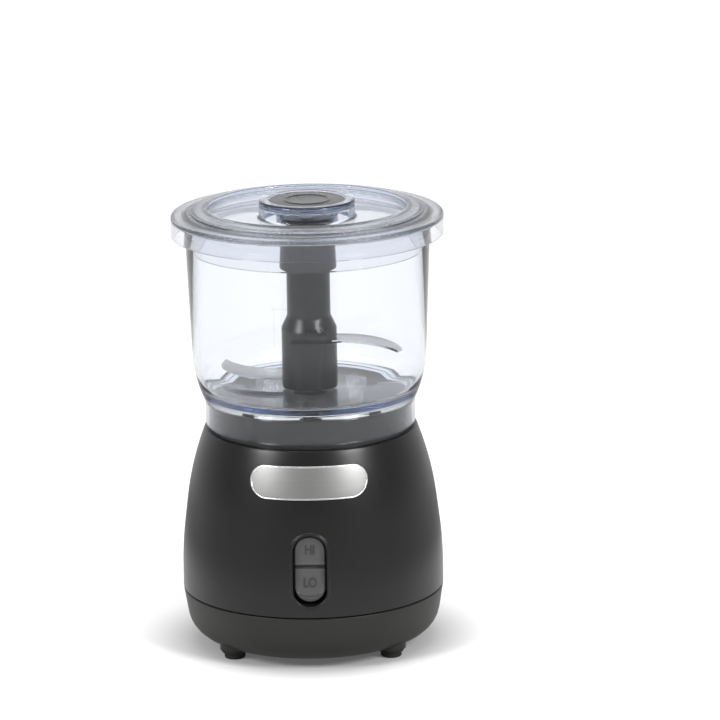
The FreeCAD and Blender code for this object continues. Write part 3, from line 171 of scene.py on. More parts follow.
def makeFloor(s):
    half = s["floorSize"] * mm / 2
    mesh = bpy.data.meshes.new("floor")
    outline = [(-half, -half, 0), (half, -half, 0), (half, half, 0), (-half, half, 0)]
    mesh.from_pydata(outline, [], [(0, 1, 2, 3)])
    floor = bpy.data.objects.new("floor", mesh)
    scene.collection.objects.link(floor)
    paper = bpy.data.materials.new("floorPaper")
    paper.use_nodes = True
    tree = paper.node_tree
    tree.nodes.clear()
    place = addNode(tree, "ShaderNodeTexCoord")
    radius = addNode(tree, "ShaderNodeVectorMath", operation="LENGTH")
    tree.links.new(place.outputs["Object"], radius.inputs[0])

    def between(radii):
        return fadeNode(tree, radius.outputs["Value"], radii[0] * mm, radii[1] * mm).outputs["Result"]

    def mixed(first, second, factor):
        mix = addNode(tree, "ShaderNodeMix")
        tree.links.new(factor, mix.inputs["Factor"])
        for name, value in (("A", first), ("B", second)):
            if isinstance(value, float):
                mix.inputs[name].default_value = value
            else:
                tree.links.new(value, mix.inputs[name])
        return mix.outputs["Result"]

    path = addNode(tree, "ShaderNodeLightPath")
    direct = addNode(tree, "ShaderNodeMath", operation="MAXIMUM")
    tree.links.new(path.outputs["Is Camera Ray"], direct.inputs[0])
    tree.links.new(path.outputs["Is Transmission Ray"], direct.inputs[1])
    mirror = addNode(tree, "ShaderNodeMath", operation="MULTIPLY")
    tree.links.new(path.outputs["Is Glossy Ray"], mirror.inputs[0])
    tree.links.new(mixed(s["paperLift"], s["mirrorLift"], between(s["mirrorFade"])), mirror.inputs[1])
    table = between(s["paper"])
    lift = mixed(mirror.outputs[0], mixed(s["paperLift"], s["tableLift"], table), direct.outputs[0])
    # painted shadow: the paper's colour darkens towards the object, under and round its base
    colour = mixed(s["paintedShadowColour"], s["paperColour"], between(s["paintedShadow"]))
    matt = addNode(tree, "ShaderNodeBsdfDiffuse")
    tree.links.new(mixed(colour, s["tableColour"], table), matt.inputs["Color"])
    white = addNode(tree, "ShaderNodeEmission")
    white.inputs["Color"].default_value = (1, 1, 1, 1)
    tree.links.new(lift, white.inputs["Strength"])
    both = addNode(tree, "ShaderNodeAddShader")
    tree.links.new(matt.outputs[0], both.inputs[0])
    tree.links.new(white.outputs[0], both.inputs[1])
    out = addNode(tree, "ShaderNodeOutputMaterial")
    tree.links.new(both.outputs[0], out.inputs["Surface"])
    floor.data.materials.append(paper)


makeWorld(studio)
makeLamps(studio["lamps"])
makeFloor(studio)
scene.view_settings.view_transform = "Standard"
print("studio lit")


# Materials: every opaque finish is one surface with its own colour drift, grain and roughness
smoothest = 0.02            # lowest roughness


def surface(name, colour, roughness, metallic=0.0, drift=0.12, driftSize=30, grain=0.0, grainSize=0.4,
            gloss=0.06, stretch=(1, 1, 1), shine=0.5):
    material = bpy.data.materials.new(name)
    material.use_nodes = True
    nodes, links = material.node_tree.nodes, material.node_tree.links
    shader = nodes["Principled BSDF"]
    shader.inputs["Metallic"].default_value = metallic
    shader.inputs["Specular IOR Level"].default_value = shine
    place = nodes.new("ShaderNodeTexCoord")
    spread = nodes.new("ShaderNodeMapping")
    spread.inputs["Scale"].default_value = stretch
    links.new(place.outputs["Object"], spread.inputs["Vector"])

    def noise(size, detail):
        texture = nodes.new("ShaderNodeTexNoise")
        texture.inputs["Scale"].default_value = 1 / (size * mm)
        texture.inputs["Detail"].default_value = detail
        links.new(spread.outputs[0], texture.inputs["Vector"])
        return texture

    cloud = noise(driftSize, 3)
    tint = nodes.new("ShaderNodeMix")
    tint.data_type = "RGBA"
    links.new(cloud.outputs["Fac"], tint.inputs["Factor"])
    tint.inputs["A"].default_value = [c * (1 - drift) for c in colour] + [1]
    tint.inputs["B"].default_value = [c * (1 + drift) for c in colour] + [1]
    links.new(tint.outputs["Result"], shader.inputs["Base Color"])
    fine = noise(grainSize, 2)
    polish = nodes.new("ShaderNodeMapRange")
    polish.inputs["To Min"].default_value = max(smoothest, roughness - gloss)
    polish.inputs["To Max"].default_value = roughness + gloss
    links.new(fine.outputs["Fac"], polish.inputs["Value"])
    links.new(polish.outputs["Result"], shader.inputs["Roughness"])
    if grain:
        bump = nodes.new("ShaderNodeBump")
        bump.inputs["Distance"].default_value = grain * mm
        links.new(fine.outputs["Fac"], bump.inputs["Height"])
        links.new(bump.outputs["Normal"], shader.inputs["Normal"])
    return material


clearMoulding = {
    "index": 1.49,
    "flow": 18,             # size of the faint waves that moulding leaves
    "flowStrength": 0.15,
    "flowDepth": 0.05,
}


def clearPlastic(name, colour, roughness, depth=None, etched=None, glare=0.6):
    material = bpy.data.materials.new(name)
    material.use_nodes = True
    tree = material.node_tree
    nodes, links = tree.nodes, tree.links
    shader = nodes["Principled BSDF"]
    shader.inputs["Transmission Weight"].default_value = 1.0
    shader.inputs["IOR"].default_value = clearMoulding["index"]
    shader.inputs["Base Color"].default_value = colour + (1,)
    shader.inputs["Specular Tint"].default_value = (glare, glare, glare, 1)
    if depth:
        # deeper in colour where light runs along a wall
        body = addNode(tree, "ShaderNodeVolumeAbsorption")
        body.inputs["Color"].default_value = depth["colour"] + (1,)
        body.inputs["Density"].default_value = depth["density"]
        links.new(body.outputs["Volume"], nodes["Material Output"].inputs["Volume"])
    place = addNode(tree, "ShaderNodeTexCoord")
    flow = addNode(tree, "ShaderNodeTexNoise")
    flow.inputs["Scale"].default_value = 1 / (clearMoulding["flow"] * mm)
    flow.inputs["Detail"].default_value = 2
    links.new(place.outputs["Object"], flow.inputs["Vector"])
    polish = addNode(tree, "ShaderNodeMapRange")
    polish.inputs["To Min"].default_value = roughness * 0.5
    polish.inputs["To Max"].default_value = roughness * 1.5
    links.new(flow.outputs["Fac"], polish.inputs["Value"])
    wave = addNode(tree, "ShaderNodeBump")
    wave.inputs["Strength"].default_value = clearMoulding["flowStrength"]
    wave.inputs["Distance"].default_value = clearMoulding["flowDepth"] * mm
    links.new(flow.outputs["Fac"], wave.inputs["Height"])
    links.new(wave.outputs["Normal"], shader.inputs["Normal"])
    if not etched:
        links.new(polish.outputs["Result"], shader.inputs["Roughness"])
        return material

    # etched band between two radii and above a height
    level = addNode(tree, "ShaderNodeVectorMath", operation="MULTIPLY")
    level.inputs[1].default_value = (1, 1, 0)
    links.new(place.outputs["Object"], level.inputs[0])
    radius = addNode(tree, "ShaderNodeVectorMath", operation="LENGTH")
    links.new(level.outputs["Vector"], radius.inputs[0])
    split = addNode(tree, "ShaderNodeSeparateXYZ")
    links.new(place.outputs["Object"], split.inputs[0])

    def ramp(source, middle, half):
        return fadeNode(tree, source, (middle - half) * mm, (middle + half) * mm).outputs["Result"]

    def times(first, second):
        product = addNode(tree, "ShaderNodeMath", operation="MULTIPLY")
        links.new(first, product.inputs[0])
        links.new(second, product.inputs[1])
        return product.outputs[0]

    inner, outer = etched["radii"]
    softInner, softOuter, softBelow = etched["soft"]
    band = times(ramp(radius.outputs["Value"], inner, softInner),
                 ramp(radius.outputs["Value"], outer, -softOuter))
    band = times(band, ramp(split.outputs["Z"], etched["above"], softBelow))
    speck = addNode(tree, "ShaderNodeTexNoise")
    speck.inputs["Scale"].default_value = 1 / (etched["size"] * mm)
    speck.inputs["Detail"].default_value = 3
    links.new(place.outputs["Object"], speck.inputs["Vector"])
    frost = addNode(tree, "ShaderNodeMix")
    links.new(times(band, speck.outputs["Fac"]), frost.inputs["Factor"])
    links.new(polish.outputs["Result"], frost.inputs["A"])
    frost.inputs["B"].default_value = etched["roughness"]
    links.new(frost.outputs["Result"], shader.inputs["Roughness"])
    pits = addNode(tree, "ShaderNodeBump")
    pits.inputs["Distance"].default_value = etched["depth"] * mm
    links.new(band, pits.inputs["Strength"])
    links.new(speck.outputs["Fac"], pits.inputs["Height"])
    links.new(wave.outputs["Normal"], pits.inputs["Normal"])
    links.new(pits.outputs["Normal"], shader.inputs["Normal"])
    return material


clearDepth = {"colour": (0.56, 0.63, 0.75), "density": 58}
lidTexture = {
    "radii": (51.5, 69.5), "above": 223.6,
    "soft": (0.4, 0.3, 0.2),    # half width of its inner, outer and lower ends
    "size": 0.9, "roughness": 0.4, "depth": 0.24,
}
finish = {
    "casingBlack": surface("casingBlack", (0.0068, 0.0068, 0.0066), 0.32, grain=0.012, grainSize=0.35,
                           shine=0.26),
    "panBlack": surface("panBlack", (0.0135, 0.0135, 0.012), 0.46, grain=0.02, grainSize=0.45, shine=0.22),
    "pedestalGrey": surface("pedestalGrey", (0.036, 0.038, 0.038), 0.25, grain=0.008, shine=0.35),
    "rockerGrey": surface("rockerGrey", (0.048, 0.049, 0.048), 0.38, grain=0.012, grainSize=0.3, shine=0.5),
    "markGrey": surface("markGrey", (0.026, 0.026, 0.027), 0.45, shine=0.4),
    "bowlClear": clearPlastic("bowlClear", (0.96, 0.965, 0.975), 0.02, clearDepth),
    "lidClear": clearPlastic("lidClear", (0.94, 0.945, 0.965), 0.03, clearDepth, lidTexture),
    "discSmoke": clearPlastic("discSmoke", (0.09, 0.094, 0.10), 0.25, glare=0.3),
    "hubBlack": surface("hubBlack", (0.007, 0.007, 0.007), 0.3, gloss=0.03, grainSize=1.5, shine=0.3),
    "bladeSteel": surface("bladeSteel", (0.52, 0.52, 0.53), 0.2, metallic=1, drift=0.06, grain=0.006,
                          grainSize=1.5, stretch=(0.15, 6, 1), gloss=0.08),
    "badgeBrushed": surface("badgeBrushed", (0.235, 0.235, 0.232), 0.42, metallic=0.85, drift=0.06, driftSize=4,
                            grain=0.004, grainSize=1.0, stretch=(0.03, 1, 5), gloss=0.05),
    "badgeRim": surface("badgeRim", (0.55, 0.55, 0.55), 0.28, metallic=1, drift=0.04, grain=0.003),
    "plainSteel": surface("plainSteel", (0.50, 0.50, 0.51), 0.28, metallic=1, grain=0.006, gloss=0.08),
    "screwSteel": surface("screwSteel", (0.36, 0.36, 0.37), 0.35, metallic=1, grain=0.008),
    "footRubber": surface("footRubber", (0.014, 0.014, 0.014), 0.75, grain=0.03, grainSize=0.6, shine=0.3),
    "sealRubber": surface("sealRubber", (0.02, 0.02, 0.02), 0.65, grain=0.02, shine=0.3),
    "innerBlack": surface("innerBlack", (0.025, 0.025, 0.025), 0.5, grain=0.02),
    "nylonWhite": surface("nylonWhite", (0.62, 0.61, 0.56), 0.45, grain=0.01),
    "bronze": surface("bronze", (0.48, 0.32, 0.16), 0.4, metallic=1, grain=0.02, grainSize=0.2),
    "copperWire": surface("copperWire", (0.50, 0.18, 0.08), 0.3, metallic=0.9, grain=0.15, grainSize=0.7),
    "laminations": surface("laminations", (0.16, 0.16, 0.17), 0.5, metallic=0.8, grain=0.05, grainSize=0.5,
                           stretch=(0.2, 0.2, 3)),
    "carbonBlock": surface("carbonBlock", (0.02, 0.02, 0.022), 0.6, grain=0.02),
    "printBlack": surface("printBlack", (0.008, 0.008, 0.008), 0.4),
}
slotFinish = {
    "casing_black": "casingBlack", "pan_black": "panBlack", "pedestal_grey": "pedestalGrey",
    "rocker_grey": "rockerGrey", "clear_bowl": "bowlClear", "clear_lid": "lidClear", "smoke_disc": "discSmoke",
    "hub_black": "hubBlack", "blade_steel": "bladeSteel", "badge_silver": "badgeBrushed",
    "plain_steel": "plainSteel", "screw_steel": "screwSteel", "foot_rubber": "footRubber",
    "seal_rubber": "sealRubber", "inner_plastic": "innerBlack", "white_plastic": "nylonWhite",
    "bronze": "bronze", "copper": "copperWire", "laminations": "laminations", "carbon": "carbonBlock",
}
print("finishes mixed:", len(finish))


# Node trees
def nodeTree(name, inputs):
    tree = bpy.data.node_groups.new(name, "GeometryNodeTree")
    tree.interface.new_socket("Geometry", in_out="INPUT", socket_type="NodeSocketGeometry")
    keys = {}
    for label, kind in inputs:
        keys[label] = tree.interface.new_socket(label, in_out="INPUT", socket_type=kind).identifier
    tree.interface.new_socket("Geometry", in_out="OUTPUT", socket_type="NodeSocketGeometry")
    return tree, keys, tree.nodes.new("NodeGroupInput"), tree.nodes.new("NodeGroupOutput")


def finishTree(tree, start, end, geometry):
    real = tree.nodes.new("GeometryNodeRealizeInstances")
    paint = tree.nodes.new("GeometryNodeSetMaterial")
    tree.links.new(geometry, real.inputs["Geometry"])
    tree.links.new(real.outputs["Geometry"], paint.inputs["Geometry"])
    tree.links.new(start.outputs["Material"], paint.inputs["Material"])
    tree.links.new(paint.outputs["Geometry"], end.inputs["Geometry"])


def makeTurnTree():
    # carries an outline of radius and height once round the Z axis
    tree, keys, start, end = nodeTree("turnOutline", [("Segments", "NodeSocketInt"),
                                                      ("Path Radius", "NodeSocketFloat"),
                                                      ("Material", "NodeSocketMaterial")])
    nodes, links = tree.nodes, tree.links
    outline = nodes.new("GeometryNodeMeshToCurve")
    ring = nodes.new("GeometryNodeCurvePrimitiveCircle")
    upright = nodes.new("GeometryNodeSetCurveNormal")
    upright.mode = "Z_UP"
    sweep = nodes.new("GeometryNodeCurveToMesh")
    weld = nodes.new("GeometryNodeMergeByDistance")
    weld.inputs["Distance"].default_value = 0.002 * mm
    links.new(start.outputs["Geometry"], outline.inputs["Mesh"])
    links.new(start.outputs["Segments"], ring.inputs["Resolution"])
    links.new(start.outputs["Path Radius"], ring.inputs["Radius"])
    links.new(ring.outputs["Curve"], upright.inputs["Curve"])
    links.new(upright.outputs["Curve"], sweep.inputs["Curve"])
    links.new(outline.outputs["Curve"], sweep.inputs["Profile Curve"])
    links.new(sweep.outputs["Mesh"], weld.inputs["Geometry"])
    finishTree(tree, start, end, weld.outputs["Geometry"])
    return tree, keys


def makeCopyTree():
    # puts one copy of an object at each point of the mesh it works on
    tree, keys, start, end = nodeTree("copyToPoints", [("Copied", "NodeSocketObject"),
                                                       ("Material", "NodeSocketMaterial")])
    nodes, links = tree.nodes, tree.links
    source = nodes.new("GeometryNodeObjectInfo")
    place = nodes.new("GeometryNodeInstanceOnPoints")
    links.new(start.outputs["Copied"], source.inputs["Object"])
    links.new(start.outputs["Geometry"], place.inputs["Points"])
    links.new(source.outputs["Geometry"], place.inputs["Instance"])
    finishTree(tree, start, end, place.outputs["Instances"])
    return tree, keys


def makeSmoothTree():
    # joins a CAD mesh's loose triangles and smooths all but its sharp edges
    tree, keys, start, end = nodeTree("smoothFaces", [("Sharp Angle", "NodeSocketFloat")])
    nodes, links = tree.nodes, tree.links
    weld = nodes.new("GeometryNodeMergeByDistance")
    weld.inputs["Distance"].default_value = 0.001 * mm
    allFaces = nodes.new("GeometryNodeSetShadeSmooth")
    sharpEdges = nodes.new("GeometryNodeSetShadeSmooth")
    sharpEdges.domain = "EDGE"
    sharpEdges.inputs["Shade Smooth"].default_value = False
    angle = nodes.new("GeometryNodeInputMeshEdgeAngle")
    above = nodes.new("FunctionNodeCompare")
    above.data_type = "FLOAT"
    above.operation = "GREATER_THAN"
    links.new(start.outputs["Geometry"], weld.inputs["Geometry"])
    links.new(weld.outputs["Geometry"], allFaces.inputs["Geometry"])
    links.new(allFaces.outputs["Geometry"], sharpEdges.inputs["Geometry"])
    links.new(angle.outputs["Unsigned Angle"], above.inputs["A"])
    links.new(start.outputs["Sharp Angle"], above.inputs["B"])
    links.new(above.outputs["Result"], sharpEdges.inputs["Selection"])
    links.new(sharpEdges.outputs["Geometry"], end.inputs["Geometry"])
    return tree, keys


turnTree, turnKeys = makeTurnTree()
copyTree, copyKeys = makeCopyTree()
smoothTree, smoothKeys = makeSmoothTree()


# Mesh helpers
def addObject(name, mesh):
    piece = bpy.data.objects.new(name, mesh)
    scene.collection.objects.link(piece)
    return piece


def meshObject(name, points, faces, edges=()):
    mesh = bpy.data.meshes.new(name)
    mesh.from_pydata([Vector(p) * mm for p in points], list(edges), faces)
    return addObject(name, mesh)


def bake(piece):
    # swaps the piece's modifiers for the mesh that they make
    bpy.context.view_layer.update()
    seen = piece.evaluated_get(bpy.context.evaluated_depsgraph_get())
    made = bpy.data.meshes.new_from_object(seen)
    piece.modifiers.clear()
    old = piece.data
    piece.data = made
    bpy.data.meshes.remove(old)
    return piece


sharpAngle = 32             # edges that turn by more than this stay sharp
weldGap = 0.002


def tidy(piece, sharp=sharpAngle, weld=weldGap):
    # welds, points the faces outwards and smooths all but the sharp edges
    work = bmesh.new()
    work.from_mesh(piece.data)
    bmesh.ops.remove_doubles(work, verts=work.verts, dist=weld * mm)
    bmesh.ops.dissolve_degenerate(work, edges=work.edges, dist=0.0005 * mm)
    bmesh.ops.recalc_face_normals(work, faces=work.faces)
    if work.calc_volume(signed=True) < 0:
        bmesh.ops.reverse_faces(work, faces=work.faces)
    limit = math.radians(sharp)
    for face in work.faces:
        face.smooth = True
    for edge in work.edges:
        edge.smooth = len(edge.link_faces) == 2 and edge.calc_face_angle(0) < limit
    work.to_mesh(piece.data)
    work.free()
    return piece


def rounded(corners, steps=7):
    # corners are (radius, height) or (radius, height, rounding), round a closed outline
    points = []
    count = len(corners)
    for number, corner in enumerate(corners):
        place = Vector(corner[:2])
        if len(corner) == 2:
            points.append(place)
            continue
        back = (Vector(corners[number - 1][:2]) - place).normalized()
        ahead = (Vector(corners[(number + 1) % count][:2]) - place).normalized()
        half = back.angle(ahead) / 2
        middle = place + (back + ahead).normalized() * (corner[2] / math.sin(half))
        reach = corner[2] / math.tan(half)
        first = place + back * reach - middle
        last = place + ahead * reach - middle
        swing = first.angle_signed(last)
        for step in range(steps + 1):
            turn = Matrix.Rotation(-swing * step / steps, 2)
            points.append(middle + turn @ first)
    return points


def turned(name, corners, material, segments=160, steps=7):
    pathRadius = 1.0
    points = rounded(corners, steps)
    count = len(points)
    outline = [(p.x - pathRadius, -p.y, 0) for p in points]
    piece = meshObject(name, outline, [], [(i, (i + 1) % count) for i in range(count)])
    turn = piece.modifiers.new("turn", "NODES")
    turn.node_group = turnTree
    turn[turnKeys["Segments"]] = segments
    turn[turnKeys["Path Radius"]] = pathRadius * mm
    turn[turnKeys["Material"]] = finish[material]
    return tidy(bake(piece))


def copied(name, part, places, material):
    # one piece that holds a copy of part at every place
    piece = meshObject(name, places, [])
    copy = piece.modifiers.new("copies", "NODES")
    copy.node_group = copyTree
    copy[copyKeys["Copied"]] = part
    copy[copyKeys["Material"]] = finish[material]
    bake(piece)
    bpy.data.objects.remove(part)
    return tidy(piece)


def combine(piece, tool, operation="DIFFERENCE"):
    change = piece.modifiers.new("combine", "BOOLEAN")
    change.operation = operation
    change.solver = "EXACT"
    change.object = tool
    bake(piece)
    bpy.data.objects.remove(tool)
    return piece


def sideShare(width, height):
    # part of half a slot's outline that its straight side takes
    radius = min(width, height) / 2
    straight = max(width, height) - 2 * radius
    return straight / (straight + math.pi * radius)


def slotPath(width, height, count=96, share=None):
    # (x, z) points round a slot shape with full round ends, the same on both sides of its middle
    radius = min(width, height) / 2
    straight = max(width, height) - 2 * radius
    onSide = round(count / 2 * (share or sideShare(width, height)))
    onEnd = count // 2 - onSide
    half = [(straight * ((i + 0.5) / onSide - 0.5), radius) for i in range(onSide)]
    for i in range(onEnd):
        angle = math.pi * (i + 0.5) / onEnd
        half.append((straight / 2 + radius * math.sin(angle), radius * math.cos(angle)))
    points = half + [(-along, -across) for along, across in half]
    return [(along, -across) if width > height else (across, along) for along, across in points]


def bands(rows, count, closed=False):
    # faces between rows of count points, from the last row back to the first where closed
    faces = []
    for row in range(rows if closed else rows - 1):
        start, after = row * count, (row + 1) % rows * count
        for i in range(count):
            j = (i + 1) % count
            faces.append((start + i, start + j, after + j, after + i))
    return faces


def slotPrism(name, width, height, front, back, middle, count=96):
    path = slotPath(width, height, count)
    points = [(x, y, z + middle) for y in (front, back) for x, z in path]
    faces = [tuple(range(count)), tuple(range(count, 2 * count))] + bands(2, count)
    return tidy(meshObject(name, points, faces))


def block(name, low, high):
    points = [(x, y, z) for x in (low[0], high[0]) for y in (low[1], high[1]) for z in (low[2], high[2])]
    faces = [(0, 1, 3, 2), (4, 6, 7, 5), (0, 4, 5, 1), (2, 3, 7, 6), (0, 2, 6, 4), (1, 5, 7, 3)]
    return tidy(meshObject(name, points, faces))


def flatText(name, text, size, thick, bold=0.0):
    # letters as a plain mesh round the origin
    letters = bpy.data.curves.new(name, "FONT")
    letters.body = text
    letters.size = size * mm
    letters.align_x = "CENTER"
    letters.align_y = "CENTER"
    letters.extrude = thick / 2 * mm
    letters.offset = bold * mm
    holder = addObject(name, letters)
    bpy.context.view_layer.update()
    seen = holder.evaluated_get(bpy.context.evaluated_depsgraph_get())
    flatMesh = bpy.data.meshes.new_from_object(seen)
    bpy.data.objects.remove(holder)
    return addObject(name, flatMesh)


def give(piece, material):
    piece.data.materials.clear()
    piece.data.materials.append(finish[material])
    return piece


def attach(piece, body, slot, *nodes):
    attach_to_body(piece, body)
    if nodes:
        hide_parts(*nodes)
    return piece


# Base: upper shell, with its slot for the rocker
over = 1.0                  # how far a cutter passes the face that it opens
housing = {
    "bottom": 30.4, "top": 114.0, "deck": 111.6, "deckRadius": 52.8, "wall": 2.4,
    "side": [(67.1, 30.4), (67.1, 52.3, 170), (61.8, 94.0, 160), (54.8, 113.2)],
    "edge": 0.9, "spindleHole": 5.0,
    # front and back of the sleeve round the slot, and of the cut through it
    "slot": (17.3, 36.4), "slotMiddle": 54.4, "sleeveWall": 1.8, "sleeveRoot": (80, 0.2), "sleeveEnd": -55.7,
    "cut": (-50.7, -80),
    # bead round the slot: out from its edge, height above the side
    "bead": [(-0.05, -0.6), (-0.05, 0.05), (0.1, 0.3), (0.4, 0.5), (0.8, 0.58), (1.15, 0.52), (1.4, 0.36),
             (1.55, 0.12), (1.75, 0.03), (1.8, -0.6)],
}


def skinRadius(height):
    # radius of the casing's outside at a height
    points = rounded(housing["side"] + [(0, housing["top"])], 12)
    for low, high in zip(points, points[1:]):
        if low.y <= height <= high.y:
            share = (height - low.y) / max(high.y - low.y, 1e-6)
            return low.x + (high.x - low.x) * share
    return points[0].x


def onSkin(x, z, proud):
    radius = skinRadius(z) + proud
    return (x, -math.sqrt(radius ** 2 - x ** 2), z)


def makeHousing(h):
    wall = h["wall"]
    low, high = h["side"][-2:]
    lean = (low[0] - high[0]) / (high[1] - low[1])
    outside = h["side"][:-1] + [(high[0] - lean * (h["top"] - high[1]), h["top"], h["edge"])]
    inside = [(h["spindleHole"], h["top"]), (h["spindleHole"], h["deck"]), (h["deckRadius"], h["deck"], 2.0),
              *[(x - wall, z, bend) for x, z, bend in reversed(h["side"][1:-1])],
              (h["side"][0][0] - wall, h["bottom"])]
    shell = turned("housingShell", outside + inside, "casingBlack", segments=224)
    width, height = h["slot"]
    grow = 2 * h["sleeveWall"]
    rootHeight, rootProud = h["sleeveRoot"]
    sleeve = slotPrism("sleeve", width + grow, height + grow, h["sleeveEnd"],
                       -skinRadius(rootHeight) - rootProud, h["slotMiddle"])
    combine(shell, sleeve, "UNION")
    combine(shell, slotPrism("slot", width, height, *h["cut"], h["slotMiddle"]))
    give(tidy(shell), "casingBlack")
    attach(shell, "base", "casing_black", "housing_shell")

    # raised bead round the slot, laid on the curved side
    count = 120
    points = []
    for out, lift in h["bead"]:
        for x, z in slotPath(width + 2 * out, height + 2 * out, count):
            points.append(onSkin(x, z + h["slotMiddle"], lift))
    rim = meshObject("slotRim", points, bands(len(h["bead"]), count, closed=True))
    give(tidy(rim, sharp=50), "casingBlack")
    attach(rim, "base", "casing_black")


makeHousing(housing)
print("housing made")

# Base: pan with feet posts, screw wells and air slots
pan = {
    "top": 29.6, "foot": 4.5, "rim": (67.1, 0.5), "corner": 63.1, "cornerRound": 14.3, "wall": 2.4,
    "lip": {"outer": 64.5, "inner": 63.1, "top": 32.6, "root": 4, "step": 0.4},
    "slots": {"count": 7, "pitch": 6.0, "width": 2.4, "length": 36.4},
    "screws": (47.0, 12.0), "wellRadius": 3.0, "wellTop": 12.5, "postRadius": 3.8, "postTop": 26,
    "feet": (40.0, 34.5), "footPost": 7.5, "footPostHigh": 6, "postSunk": 0.2,
    "cord": {"height": 20.0, "seat": 65.7, "radius": 7.7, "bore": 5.2, "pad": 4, "from": 50, "to": 75},
}


def fourCorners(x, y):
    return [(x, y), (-x, y), (-x, -y), (x, -y)]


def rodUp(name, radius, low, high, x=0.0, y=0.0, segments=48):
    rod = turned(name, [(0, low), (radius, low), (radius, high), (0, high)], "panBlack", segments)
    rod.data.transform(Matrix.Translation(Vector((x, y, 0)) * mm))
    return rod


def layBack(piece, height):
    # turns an upright piece down, so that its top points to the back at a height
    lay = Matrix.Translation((0, 0, height * mm)) @ Matrix.Rotation(math.radians(-90), 4, "X")
    piece.data.transform(lay)
    return tidy(piece)


def rodBack(name, radius, low, high, height, segments=64):
    outline = [(0, low), (radius, low), (radius, high), (0, high)]
    return layBack(turned(name, outline, "panBlack", segments), height)


def makePan(p):
    foot, wall, corner, lip = p["foot"], p["wall"], p["corner"], p["lip"]
    rim, rimRound = p["rim"]
    root = p["top"] - lip["root"]
    shell = turned("basePan", [
        (0, foot), (corner, foot, p["cornerRound"]), (rim, p["top"], rimRound), (lip["outer"], p["top"]),
        (lip["outer"], lip["top"]), (lip["inner"], lip["top"]), (lip["inner"], root),
        (rim - wall - lip["step"], root), (corner - wall, foot + wall, p["cornerRound"] - wall),
        (0, foot + wall)], "panBlack", segments=224)
    for x, y in fourCorners(*p["screws"]):
        combine(shell, rodUp("post", p["postRadius"], foot + p["postSunk"], p["postTop"], x, y), "UNION")
    for x, y in fourCorners(*p["feet"]):
        combine(shell, rodUp("footPost", p["footPost"], foot, foot + p["footPostHigh"], x, y), "UNION")
    for x, y in fourCorners(*p["screws"]):
        combine(shell, rodUp("well", p["wellRadius"], foot - over, p["wellTop"], x, y))
    cord = p["cord"]
    height, seat = cord["height"], cord["seat"]
    combine(shell, rodBack("pad", cord["radius"], seat - cord["pad"], seat, height), "UNION")
    combine(shell, rodBack("spotFace", cord["radius"], seat, cord["to"], height))
    combine(shell, rodBack("cordHole", cord["bore"], cord["from"], cord["to"], height))
    slots = p["slots"]
    cutter = slotPrism("airSlot", slots["width"], slots["length"], foot - over, foot + wall + over, 0, 40)
    # stood upright and mirrored at the underside, which leaves the slots blind, as deep as over
    cutter.data.transform(Matrix.Rotation(math.radians(90), 4, "X"))
    cutter.data.transform(Matrix.Translation((0, 0, 2 * foot * mm)) @ Matrix.Scale(-1, 4, (0, 0, 1)))
    tidy(cutter)
    first = -(slots["count"] - 1) / 2 * slots["pitch"]
    row = [(first + number * slots["pitch"], 0, 0) for number in range(slots["count"])]
    combine(shell, copied("airSlots", cutter, row, "panBlack"))
    give(tidy(shell), "panBlack")
    attach(shell, "base", "pan_black", "base_pan")


makePan(pan)
print("pan made")

# Rubber feet, one shape copied to the four posts
feet = {
    "pad": 5.4, "collar": 6.5, "collarLow": 2.8, "collarDrop": 0.1, "top": 4.5, "stem": 2.4, "stemTop": 10.5,
    "dimple": 2.2, "dimpleDeep": 0.5,
}


def makeFeet(f):
    deep, low = f["dimpleDeep"], f["collarLow"]
    foot = turned("foot", [
        (0, deep), (f["dimple"], deep, 0.3), (f["dimple"] + deep, 0, 0.15), (f["pad"], 0, 0.9),
        (f["pad"], low, 0.4), (f["collar"], low + f["collarDrop"], 0.5), (f["collar"], f["top"]),
        (f["stem"], f["top"]), (f["stem"], f["stemTop"], 0.5), (0, f["stemTop"])], "footRubber", segments=56)
    places = [(x, y, 0) for x, y in fourCorners(*pan["feet"])]
    rubber = copied("rubberFeet", foot, places, "footRubber")
    attach(rubber, "base", "foot_rubber", "foot_front_left", "foot_front_right", "foot_rear_left",
           "foot_rear_right")


makeFeet(feet)

# Pan screws with a cross recess
screws = {
    "head": 2.7, "core": 1.3, "low": 10.5, "headTop": 12.5, "tip": 42.0, "point": 1,
    "cross": (3.4, 0.8, 1.2),   # length, width and depth
}


def makeScrews(s):
    screw = turned("screw", [
        (0, s["low"]), (s["head"], s["low"], 0.7), (s["head"], s["headTop"]), (s["core"], s["headTop"]),
        (s["core"], s["tip"] - s["point"]), (0, s["tip"])], "screwSteel", segments=40)
    length, width, depth = s["cross"]
    for size in ((length, width), (width, length)):
        low = (-size[0] / 2, -size[1] / 2, s["low"] - over)
        high = (size[0] / 2, size[1] / 2, s["low"] + depth)
        combine(screw, block("recess", low, high))
    places = [(x, y, 0) for x, y in fourCorners(*pan["screws"])]
    attach(copied("panScrews", screw, places, "screwSteel"), "base", "screw_steel", "pan_screws")


makeScrews(screws)

# Bush in the cord hole
cordBush = {"bore": 3.6, "wall": 5.17, "flange": 6.9, "inner": 61.7, "seat": 65.7, "face": 67.0}


def makeCordBush(c):
    bush = turned("cordBush", [
        (c["bore"], c["inner"]), (c["wall"], c["inner"]), (c["wall"], c["seat"]), (c["flange"], c["seat"]),
        (c["flange"], c["face"], 0.5), (c["bore"], c["face"], 0.35)], "sealRubber", segments=64)
    attach(layBack(bush, pan["cord"]["height"]), "base", "seal_rubber", "cord_bush")


makeCordBush(cordBush)
print("feet, screws and bush made")

